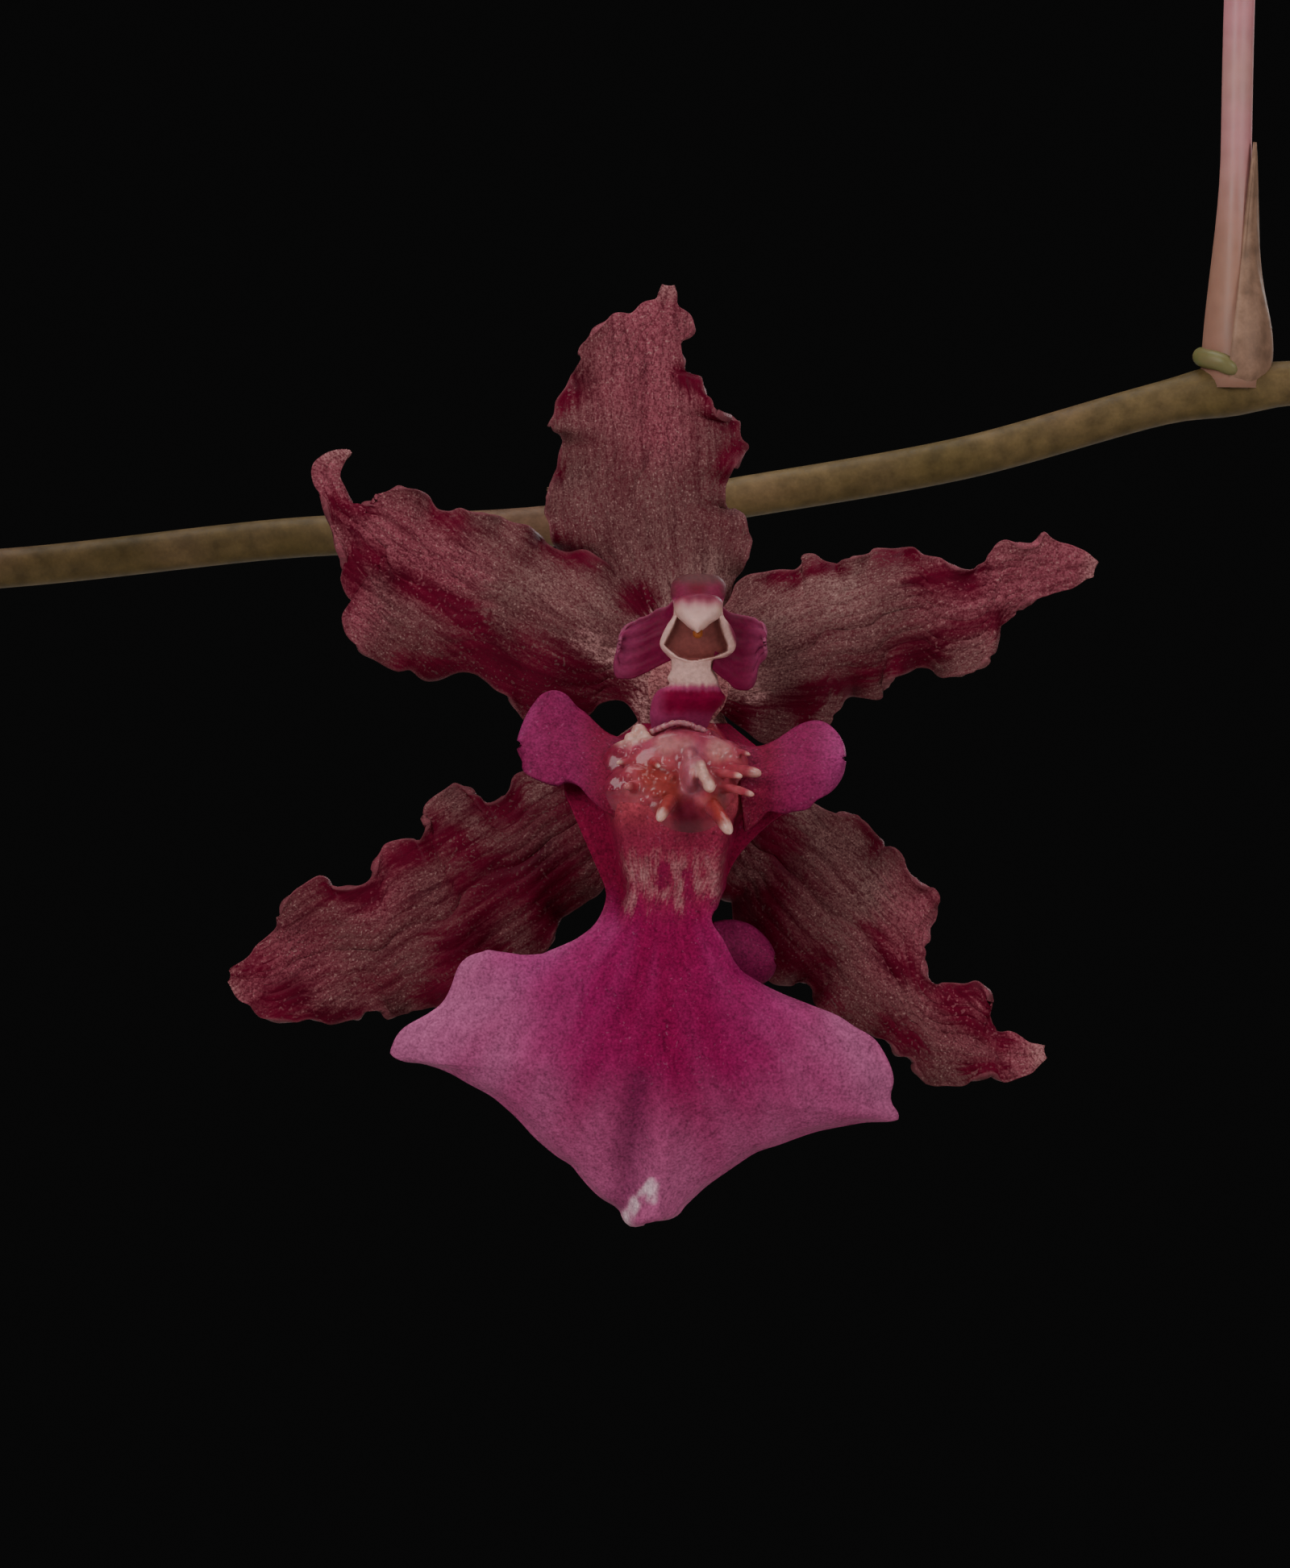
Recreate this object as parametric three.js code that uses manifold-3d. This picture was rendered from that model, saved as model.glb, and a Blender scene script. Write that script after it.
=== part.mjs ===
// A potted oncidium orchid in flower: a clay pot of bark chips, three pseudobulbs and a young shoot with
// strap leaves, and one branched, arching flower stem that carries buds and small maroon and magenta flowers.
// Millimetres, +Z up. The origin is the middle of the pot's flat underside. The flowers mostly face -Y.
import * as THREE from 'three';
import { mergeVertices } from 'three/addons/utils/BufferGeometryUtils.js';
import Module from 'manifold-3d';

const wasm = await Module();
wasm.setup();

// Driving dimensions
const GAP = 0.3; // clearance between two pieces that touch
const FLOWER_GAP = 0.2; // the same inside a flower
const POT_HEIGHT = 104;
const POT_BASE_RADIUS = 41;
const POT_TOP_RADIUS = 59;
const POT_WALL = 5;
const POT_FLOOR = 7;
const RIM_HEIGHT = 24;
const RIM_STEP = 4.5; // how far the rim stands out from the body
const BARK_LEVEL = 88; // where the bark meets the pot's wall
const BARK_CHIPS = 24;
const BULB_FOOT = 78; // the height at which the pseudobulbs start, below the surface of the bark
const LEAF_THICKNESS = 1.2;
const TEPAL_THICKNESS = 0.8;
const FLOWER_AT = [-20, -24, 345]; // the flower that shows best, seen square on from -Y
const STEM_RADIUS = 2.6; // at the foot of the flower stem
const BRANCH_RADIUS = 0.92;
const PEDICEL_RADIUS = 0.62;

const MATERIALS = {
  clay: { color: 0xa9593a, roughness: 0.85 },
  bark: { color: 0x5a3a26, roughness: 0.9 },
  bulb: { color: 0x5f7a35, roughness: 0.5 },
  leaf: { color: 0x3f6b2c, roughness: 0.45 },
  stem: { color: 0x7a6a3a, roughness: 0.55 },
  tepal: { color: 0x5e1c26, roughness: 0.55 },
  lip: { color: 0xa83a78, roughness: 0.5 },
  callus: { color: 0xc8604e, roughness: 0.35 },
  column: { color: 0x8e2a66, roughness: 0.45 },
  cap: { color: 0xeadccf, roughness: 0.4 },
};

const plant = new THREE.Group();
const vector = (x, y, z) => new THREE.Vector3(x, y, z);
const { degToRad, smoothstep } = THREE.MathUtils;

// The same run of random numbers for the same seed.
function randomFrom(seed) {
  let state = seed;
  return () => {
    state = (state * 1664525 + 1013904223) % 4294967296;
    return state / 4294967296;
  };
}

// Solids

function solidOf(geometry) {
  const bare = geometry.clone().deleteAttribute('normal').deleteAttribute('uv');
  const merged = mergeVertices(bare, 1e-4);
  const vertProperties = merged.attributes.position.array;
  const triVerts = new Uint32Array(merged.index.array);
  const solid = new wasm.Manifold(new wasm.Mesh({ numProp: 3, vertProperties, triVerts }));
  if (solid.volume() > 0) return solid;
  for (let i = 0; i < triVerts.length; i += 3) {
    [triVerts[i + 1], triVerts[i + 2]] = [triVerts[i + 2], triVerts[i + 1]];
  }
  return new wasm.Manifold(new wasm.Mesh({ numProp: 3, vertProperties, triVerts }));
}

function geometryOf(solid) {
  const mesh = solid.getMesh();
  const positions = new Float32Array(mesh.numVert * 3);
  for (let i = 0; i < mesh.numVert; i++) {
    const start = i * mesh.numProp;
    positions.set(mesh.vertProperties.subarray(start, start + 3), i * 3);
  }
  const geometry = new THREE.BufferGeometry();
  geometry.setAttribute('position', new THREE.BufferAttribute(positions, 3));
  geometry.setIndex(new THREE.BufferAttribute(mesh.triVerts, 1));
  return geometry;
}

const joined = (solids) => solids.reduce((whole, next) => whole.add(next));

// Cutting can leave loose scraps, and only the main piece is kept.
function mainPiece(solid) {
  const pieces = solid.decompose();
  return pieces.reduce((best, next) => (next.volume() > best.volume() ? next : best));
}

function addNode(name, solid, finish, group = plant) {
  const { color, roughness } = MATERIALS[finish];
  const material = new THREE.MeshStandardMaterial({ color, roughness, metalness: 0 });
  const mesh = new THREE.Mesh(geometryOf(solid), material);
  mesh.name = name;
  group.add(mesh);
}

// A thin blade: one grid of points on each side of a surface, split into triangles alike, and closed at the
// edges. place(t, s) is the surface, with t from base to tip and s from -1 to 1 across. Its thickness is
// laid along the direction given, or along the surface's own normal.
function blade(steps, strips, place, halfThickness, direction) {
  const points = [];
  const offsets = [];
  const near = 1e-3;
  for (let i = 0; i <= steps; i++) {
    for (let j = 0; j <= strips; j++) {
      const t = i / steps;
      const s = (2 * j) / strips - 1;
      const along = place(Math.min(1, t + near), s).sub(place(Math.max(0, t - near), s));
      const across = place(t, Math.min(1, s + near)).sub(place(t, Math.max(-1, s - near)));
      const normal = direction ? direction.clone() : along.cross(across).normalize();
      points.push(place(t, s));
      offsets.push(normal.multiplyScalar(halfThickness));
    }
  }
  const top = points.map((point, k) => point.clone().add(offsets[k]));
  const bottom = points.map((point, k) => point.clone().sub(offsets[k]));
  const count = points.length;
  const at = (i, j) => i * (strips + 1) + j;
  const index = [];
  for (let i = 0; i < steps; i++) {
    for (let j = 0; j < strips; j++) {
      const [a, b, c, d] = [at(i, j), at(i, j + 1), at(i + 1, j + 1), at(i + 1, j)];
      index.push(a, b, c, a, c, d);
      index.push(count + a, count + c, count + b, count + a, count + d, count + c);
    }
  }
  const border = [];
  for (let j = 0; j < strips; j++) border.push(at(0, j));
  for (let i = 0; i < steps; i++) border.push(at(i, strips));
  for (let j = strips; j > 0; j--) border.push(at(steps, j));
  for (let i = steps; i > 0; i--) border.push(at(i, 0));
  border.forEach((a, k) => {
    const b = border[(k + 1) % border.length];
    index.push(b, a, count + a, b, count + a, count + b);
  });
  const geometry = new THREE.BufferGeometry().setFromPoints([...top, ...bottom]);
  geometry.setIndex(index);
  return solidOf(geometry);
}

// A stem with closed ends along a curve, whose radius changes with t.
function stem(curve, steps, sides, radiusAt) {
  const frames = curve.computeFrenetFrames(steps, false);
  const points = [];
  for (let i = 0; i <= steps; i++) {
    const t = i / steps;
    for (let k = 0; k < sides; k++) {
      const turn = (2 * Math.PI * k) / sides;
      const radial = frames.normals[i].clone().multiplyScalar(Math.cos(turn));
      radial.addScaledVector(frames.binormals[i], Math.sin(turn));
      points.push(curve.getPointAt(t).addScaledVector(radial, radiusAt(t)));
    }
  }
  const index = [];
  for (let i = 0; i < steps; i++) {
    for (let k = 0; k < sides; k++) {
      const a = i * sides + k;
      const b = i * sides + ((k + 1) % sides);
      index.push(a, b, b + sides, a, b + sides, a + sides);
    }
  }
  const last = steps * sides;
  for (let k = 1; k < sides - 1; k++) {
    index.push(0, k + 1, k, last, last + k, last + k + 1);
  }
  const geometry = new THREE.BufferGeometry().setFromPoints(points);
  geometry.setIndex(index);
  return solidOf(geometry);
}

const smoothCurve = (points) => new THREE.CatmullRomCurve3(points.map((p) => vector(...p)));
const straight = (start, end) => new THREE.LineCurve3(start, end);

function ball(centre, radii, rings, sides) {
  const geometry = new THREE.SphereGeometry(1, sides, rings).rotateX(Math.PI / 2);
  return solidOf(geometry.scale(...radii).translate(...centre));
}

function turned(profile, segments) {
  const points = profile.map(([radius, height]) => new THREE.Vector2(radius, height));
  return solidOf(new THREE.LatheGeometry(points, segments).rotateX(Math.PI / 2));
}

// The pot

const BODY_TOP = POT_HEIGHT - RIM_HEIGHT;
const TAPER = (POT_TOP_RADIUS - RIM_STEP - POT_BASE_RADIUS) / BODY_TOP;
const outerRadius = (z) => POT_BASE_RADIUS + TAPER * z;
const innerRadius = (z) => outerRadius(z) - POT_WALL;

function makePot() {
  const body = turned([
    [0, 0], [POT_BASE_RADIUS - 1.5, 0], [POT_BASE_RADIUS, 1.5], [outerRadius(BODY_TOP), BODY_TOP],
    [POT_TOP_RADIUS - 1.5, BODY_TOP + 1.5], [POT_TOP_RADIUS, POT_HEIGHT - 2],
    [POT_TOP_RADIUS - 2, POT_HEIGHT], [innerRadius(POT_HEIGHT), POT_HEIGHT],
    [innerRadius(POT_FLOOR), POT_FLOOR], [0, POT_FLOOR],
  ], 30);
  const holeRadius = 4.5;
  const holeRing = 20;
  const holes = [45, 135, 225, 315].map((degrees) => {
    const turn = degToRad(degrees);
    const hole = new THREE.CylinderGeometry(holeRadius, holeRadius, 3 * POT_FLOOR, 8);
    hole.rotateX(Math.PI / 2).translate(holeRing * Math.cos(turn), holeRing * Math.sin(turn), 0);
    return solidOf(hole);
  });
  addNode('pot', body.subtract(joined(holes)), 'clay');
}

// Pseudobulbs: flattened, ribbed ovals in a row along the rhizome, thin in the direction of the row.

const BULBS = [
  { name: 'pseudobulb_1', foot: [19, -17], height: 84, width: 20, depth: 10.5, lean: 2 },
  { name: 'pseudobulb_2', foot: [0, 1], height: 80, width: 19, depth: 9.5, lean: -3 },
  { name: 'pseudobulb_3', foot: [-18, 18], height: 67, width: 17, depth: 8, lean: -7 },
];
const ROW_TURN = -Math.PI / 4;
const BULB_RIB = 0.05;
const RIBS = 7;

// grow is added all round, to cut clearance for the bulb.
function bulbSolid({ foot, height, width, depth, lean }, grow = 0) {
  const rings = 8;
  const profile = [new THREE.Vector2(0, 0), new THREE.Vector2(0.55, 0)];
  for (let i = 1; i <= rings; i++) {
    const h = i / rings;
    const swell = Math.sin(Math.PI * Math.pow(0.1 + 0.9 * h, 0.8));
    profile.push(new THREE.Vector2(i === rings ? 0 : Math.pow(swell, 0.62), h));
  }
  const shape = new THREE.LatheGeometry(profile, 2 * RIBS).rotateX(Math.PI / 2);
  const p = shape.attributes.position;
  for (let i = 0; i < p.count; i++) {
    const rib = 1 + BULB_RIB * Math.cos(RIBS * Math.atan2(p.getY(i), p.getX(i)));
    const deep = depth * rib + grow;
    const wide = width * rib + grow;
    p.setXYZ(i, p.getX(i) * deep, p.getY(i) * wide, p.getZ(i) * (height + grow));
  }
  shape.rotateY(degToRad(lean)).rotateZ(ROW_TURN).translate(foot[0], foot[1], BULB_FOOT);
  return solidOf(shape);
}

// Where a leaf springs from the top of a bulb: a little below it, on the side the leaf heads for.
const LEAF_SEAT = { out: 4.2, down: 4 };
function topOf({ foot, height, lean }, heading) {
  const out = height * Math.sin(degToRad(lean));
  const turn = degToRad(heading);
  const x = foot[0] + out * Math.cos(ROW_TURN) + LEAF_SEAT.out * Math.cos(turn);
  const y = foot[1] + out * Math.sin(ROW_TURN) + LEAF_SEAT.out * Math.sin(turn);
  return [x, y, BULB_FOOT + height * Math.cos(degToRad(lean)) - LEAF_SEAT.down];
}

// Leaves: straps folded along the rib, narrow where they spring, arching over to a point. reach is how far
// one goes out, rise and fall set how high its arch stands and how far the tip drops, width is half its width.

const LEAVES = [
  { name: 'leaf_1', bulb: 0, foot: topOf(BULBS[0], -14), heading: -14,
    reach: 126, rise: 112, fall: 40, width: 14 },
  { name: 'leaf_2', bulb: 0, foot: topOf(BULBS[0], 246), heading: 246,
    reach: 108, rise: 108, fall: 38, width: 14 },
  { name: 'leaf_3', bulb: 1, foot: topOf(BULBS[1], 62), heading: 62,
    reach: 108, rise: 118, fall: 26, width: 13 },
  { name: 'leaf_4', bulb: 1, foot: topOf(BULBS[1], 212), heading: 212,
    reach: 128, rise: 104, fall: 46, width: 14 },
  { name: 'leaf_5', bulb: 2, foot: topOf(BULBS[2], 142), heading: 142,
    reach: 118, rise: 112, fall: 40, width: 13 },
  { name: 'leaf_6', bulb: 0, foot: [29, -30, 84], heading: -52,
    reach: 104, rise: 112, fall: 24, width: 12 },
  { name: 'leaf_7', bulb: 0, foot: [2, -33, 84], heading: -148,
    reach: 96, rise: 100, fall: 20, width: 12 },
  { name: 'leaf_8', bulb: 1, foot: [18, 22, 84], heading: 24,
    reach: 98, rise: 112, fall: 18, width: 12 },
];

function leafSolid({ foot, heading, reach, rise, fall, width, steps = 10 }, grow = 0) {
  const turn = degToRad(heading);
  const side = vector(-Math.sin(turn), Math.cos(turn), 0);
  const at = (out, up) => vector(foot[0] + out * Math.cos(turn), foot[1] + out * Math.sin(turn), foot[2] + up);
  const rib = new THREE.CubicBezierCurve3(
    at(0, -grow), at(0.08 * reach, 0.62 * rise), at(0.42 * reach, 1.25 * rise), at(reach, rise - fall),
  );
  const place = (t, s) => {
    const upward = rib.getTangent(t).cross(side).normalize();
    const spread = Math.sin(Math.PI * Math.pow(0.08 + 0.92 * t, 1.05));
    const half = width * (0.12 + 0.88 * spread) + 2 * grow;
    const fold = degToRad(18 + 58 * Math.exp(-9 * t));
    const point = rib.getPoint(t).addScaledVector(side, half * s * Math.cos(fold));
    return point.addScaledVector(upward, half * Math.abs(s) * Math.sin(fold));
  };
  return blade(steps, 2, place, LEAF_THICKNESS / 2 + grow);
}

// Each leaf is cut clear of its bulb and of the leaves before it.
function makeLeaves() {
  const done = [];
  for (const leaf of LEAVES) {
    const clear = joined([bulbSolid(BULBS[leaf.bulb], GAP), ...done]);
    addNode(leaf.name, mainPiece(leafSolid(leaf).subtract(clear)), 'leaf');
    done.push(leafSolid(leaf, GAP));
  }
}

// A young shoot in front of the newest bulb: two short leaves on a stub.
const SHOOT_FOOT = [37.5, -17.5, 83];
function makeShoot() {
  const [x, y, z] = SHOOT_FOOT;
  const fan = [
    { heading: -28, reach: 32, rise: 62, fall: 0, width: 6.5 },
    { heading: 42, reach: 18, rise: 44, fall: 0, width: 5.5 },
  ];
  const leaves = fan.map((leaf) => {
    const turn = degToRad(leaf.heading);
    const foot = [x + 2.4 * Math.cos(turn), y + 2.4 * Math.sin(turn), z];
    return leafSolid({ ...leaf, foot, steps: 5 });
  });
  const stub = stem(straight(vector(x, y, z), vector(x, y, z + 12)), 1, 6, (t) => 2.4 - 1.4 * t);
  addNode('young_shoot', joined([stub, ...leaves]), 'leaf');
}

// The bark: one body that fills the pot, with chips standing out of the top.

function barkChip(random, radius, turn, lift) {
  const block = new THREE.BoxGeometry(13 + 6 * random(), 8 + 4 * random(), 5 + 2 * random());
  const chip = mergeVertices(block.deleteAttribute('normal').deleteAttribute('uv'));
  const corners = chip.attributes.position;
  for (let i = 0; i < corners.count; i++) {
    const pinch = 0.72 + 0.28 * random();
    corners.setXYZ(i, corners.getX(i) * pinch, corners.getY(i) * pinch, corners.getZ(i));
  }
  chip.rotateX(0.5 * (random() - 0.5)).rotateY(0.5 * (random() - 0.5)).rotateZ(Math.PI * random());
  return solidOf(chip.translate(radius * Math.cos(turn), radius * Math.sin(turn), BARK_LEVEL + lift));
}

// A plain upright hole, an oval with one axis along the row of bulbs, for something that stands in the bark.
function footHole([x, y, bottom], across, deep = across) {
  const sides = 12;
  const height = 40;
  const clear = 1 / Math.cos(Math.PI / sides);
  const hole = new THREE.CylinderGeometry(clear, clear, height, sides).rotateX(Math.PI / 2);
  hole.scale(across + GAP, deep + GAP, 1).rotateZ(ROW_TURN);
  return solidOf(hole.translate(x, y, bottom - 1 + height / 2));
}

function makeBark() {
  const bottom = POT_FLOOR + GAP;
  const side = [[innerRadius(POT_FLOOR) - 1, bottom], [innerRadius(BARK_LEVEL) - 0.7, BARK_LEVEL]];
  const fill = turned([[0, bottom], ...side, [0, BARK_LEVEL + 2]], 20);
  const random = randomFrom(7);
  const goldenTurn = Math.PI * (3 - Math.sqrt(5));
  const reach = innerRadius(BARK_LEVEL) - 12;
  const chips = Array.from({ length: BARK_CHIPS }, (_, i) => {
    const radius = reach * Math.sqrt((i + 0.5) / BARK_CHIPS);
    return barkChip(random, radius, i * goldenTurn, 1.2 + 2 * random() - radius / 40);
  });
  const swell = 1 + BULB_RIB;
  const holes = BULBS.map(({ foot: [x, y], depth, width, lean }) => {
    const shift = 28 * Math.abs(Math.sin(degToRad(lean)));
    return footHole([x, y, BULB_FOOT], swell * depth + shift, swell * width);
  });
  for (const { foot: [x, y, z], heading, width } of LEAVES.filter((leaf) => leaf.foot[2] < BARK_LEVEL)) {
    const fold = 0.18 * width;
    const turn = degToRad(heading);
    holes.push(footHole([x - fold * Math.cos(turn), y - fold * Math.sin(turn), z], 2.2 * fold));
  }
  holes.push(footHole(SHOOT_FOOT, 5.5), footHole(MAIN_STEM[0], STEM_RADIUS + 0.8));
  addNode('bark', mainPiece(joined([fill, ...chips]).subtract(joined(holes))), 'bark');
}

// The flower stem: one arching stem, four side branches, and a pedicel with a bract for every flower and bud.

const MAIN_STEM = [
  [37, -1, 81], [39, -2, 130], [39, -4, 200], [35, -5, 270], [30, -4, 335], [27, -2, 385],
  [20, 3, 422], [4, 4, 456], [-20, 0, 486], [-45, -6, 506], [-70, -10, 518], [-90, -12, 523],
];
const SHEATHS = [0.15, 0.27, 0.4]; // empty bracts along the bare part of the stem

const BRANCHES = [
  { name: 'branch_1', steps: 15,
    line: [[31, -4, 339], [20, -5.5, 354], [9, -6, 358], [2, -6, 358], [-9, -6, 355.2], [-18.1, -6, 353.6],
      [-22.1, -6, 352.9], [-27, -6, 352.4], [-35, -6, 352.1], [-50, -6.2, 350.7], [-60, -7, 351.4],
      [-74, -8, 354]] },
  { name: 'branch_2', steps: 8,
    line: [[27.5, -2.5, 378], [40, -6, 396], [56, -9, 406], [74, -11, 411], [92, -10, 415], [106, -8, 421]] },
  { name: 'branch_3', steps: 6,
    line: [[22, 2, 414], [16, 16, 432], [4, 32, 444], [-10, 46, 451], [-22, 56, 458]] },
  { name: 'branch_4', steps: 6,
    line: [[10, 4, 446], [22, -4, 462], [38, -14, 473], [54, -24, 480], [66, -32, 487]] },
];

// Where each flower hangs: the point its pedicel springs from, the flower's middle, then its turn about the
// upright axis, its nod and its roll in degrees. A turn of 0 faces -Y and a turn of 90 faces +X.
const FLOWERS = [
  { name: 'flower_1', stem: 'branch_1', from: [-22.1, -6, 352.9], at: FLOWER_AT,
    turn: 0, nod: 0, roll: 0, rise: [0, 0, 3], fine: true },
  { name: 'flower_2', stem: 'branch_1', from: [2, -6, 358], at: [13, -8, 396],
    turn: 60, nod: 6, roll: -4, rise: [0.3, 0, 24] },
  { name: 'flower_3', stem: 'branch_1', from: [-50, -6.2, 350.7], at: [-63, -28, 364],
    turn: -28, nod: 8, roll: 6, mirrored: true },
  { name: 'flower_4', stem: 'branch_2', from: [56, -9, 406], at: [54, -33, 397],
    turn: 14, nod: 10, roll: -5 },
  { name: 'flower_5', stem: 'branch_2', from: [74, -11, 411], at: [88, -24, 430],
    turn: 48, nod: 2, roll: 8, mirrored: true },
  { name: 'flower_6', stem: 'branch_3', from: [4, 32, 444], at: [-16, 44, 432],
    turn: -126, nod: 8, roll: 4 },
  { name: 'flower_7', stem: 'branch_4', from: [38, -14, 473], at: [32, -38, 466],
    turn: -4, nod: 12, roll: 5, mirrored: true },
  { name: 'flower_8', stem: 'flower_stem', from: [-20, 0, 486], at: [-28, -26, 482],
    turn: -16, nod: 8, roll: -3 },
];

// Buds: the point the pedicel springs from, the foot of the bud, and its size.
const BUDS = [
  { stem: 'branch_1', from: [-60, -7, 351.4], at: [-69, 1, 360], size: 1 },
  { stem: 'branch_1', from: [-74, -8, 354], at: [-84, -9, 359], size: 0.8 },
  { stem: 'branch_2', from: [92, -10, 415], at: [99, -2, 427], size: 1 },
  { stem: 'branch_2', from: [106, -8, 421], at: [116, -9, 428], size: 0.8 },
  { stem: 'branch_3', from: [-10, 46, 451], at: [-2, 56, 461], size: 1.05 },
  { stem: 'branch_3', from: [-22, 56, 458], at: [-31, 61, 465], size: 0.8 },
  { stem: 'branch_4', from: [54, -24, 480], at: [60, -20, 493], size: 1 },
  { stem: 'branch_4', from: [66, -32, 487], at: [75, -37, 493], size: 0.8 },
  { stem: 'flower_stem', from: [-45, -6, 506], at: [-52, 6, 518], size: 1.1 },
  { stem: 'flower_stem', from: [-70, -10, 518], at: [-77, -21, 528], size: 1 },
  { stem: 'flower_stem', from: [-90, -12, 523], at: [-100, -13, 527], size: 0.8 },
];

// A bud on its pedicel, which is flared at the foot by its bract.
function budSolid({ from, at, size }) {
  const foot = vector(...from);
  const head = vector(...at);
  const middle = foot.clone().lerp(head, 0.5).add(vector(0, 0, -0.12 * foot.distanceTo(head)));
  const tip = head.clone().addScaledVector(head.clone().sub(middle).normalize(), 10.5 * size);
  const line = new THREE.CatmullRomCurve3([foot, middle, head, tip]);
  const start = 1 - (10.5 * size) / line.getLength();
  return stem(line, 9, 5, (t) => {
    if (t < start) return PEDICEL_RADIUS + 0.5 * (1 - smoothstep(t, 0, 0.3));
    const along = (t - start) / (1 - start);
    return Math.max(PEDICEL_RADIUS, 2.7 * size * Math.sin(Math.PI * along ** 1.1)) * (t > 0.99 ? 0.5 : 1);
  });
}

const HUB = { radius: 1.5, length: 2.2, x: 0.1, z: 0.8 }; // the middle of a flower, behind the column

// Roll first, then nod, then turn.
function facing({ turn, nod, roll }) {
  return new THREE.Euler(degToRad(nod), degToRad(roll), degToRad(turn), 'ZXY');
}

// The pedicel of a flower, flared at the foot by its bract. It meets the back of the hub squarely.
function pedicelSolid(flower) {
  const pose = facing(flower);
  const back = vector(0, 1, 0).applyEuler(pose);
  const seat = vector(HUB.x, HUB.length + FLOWER_GAP, HUB.z).applyEuler(pose).add(vector(...flower.at));
  const foot = vector(...flower.from);
  const away = foot.distanceTo(seat);
  const rise = vector(...(flower.rise || [0, 0, 0.42 * away]));
  const behind = seat.clone().addScaledVector(back, 0.25 * away);
  const line = new THREE.CubicBezierCurve3(foot, foot.clone().add(rise), behind, seat);
  const flare = (t) => 0.4 * smoothstep(t, 0.55, 0.8) + 0.7 * (1 - smoothstep(t, 0, 0.22));
  const radiusAt = (t) => PEDICEL_RADIUS + flare(t);
  return stem(line, 7, 5, radiusAt);
}

function addStem(name, base, clear) {
  const own = (list) => list.filter((item) => item.stem === name);
  const whole = joined([...base, ...own(FLOWERS).map(pedicelSolid), ...own(BUDS).map(budSolid)]);
  addNode(name, mainPiece(clear ? whole.subtract(clear) : whole), 'stem');
}

function makeStems() {
  const line = smoothCurve(MAIN_STEM);
  const steps = 20;
  const radiusAt = (t) => STEM_RADIUS - (STEM_RADIUS - 0.8) * Math.pow(t, 0.9);
  const sheaths = SHEATHS.map((t) => {
    const end = line.getPointAt(t + 0.035).add(vector(1.6, -1.2, 0));
    return stem(straight(line.getPointAt(t), end), 1, 6, (u) => (radiusAt(t) + 0.8) * (1 - 0.7 * u));
  });
  addStem('flower_stem', [stem(line, steps, 6, radiusAt), ...sheaths]);
  const clear = stem(line, steps, 6, (t) => radiusAt(t) + GAP);
  for (const { name, line: points, steps: count } of BRANCHES) {
    const radius = (t) => BRANCH_RADIUS - 0.18 * t;
    addStem(name, [stem(smoothCurve(points), count, 5, radius)], clear);
  }
}

// Flowers. In a flower's own frame +X is the viewer's right, +Z is up and -Y is towards the viewer, and its
// middle is where the column meets the lip. Each organ is a list of spans across it from base to tip: the
// x and z of one edge, then of the other. rest is how far back its base lies, rise how far its tip bends
// back, arch how far its edges do, and ruffle the height of the waves along its edges.

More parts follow.
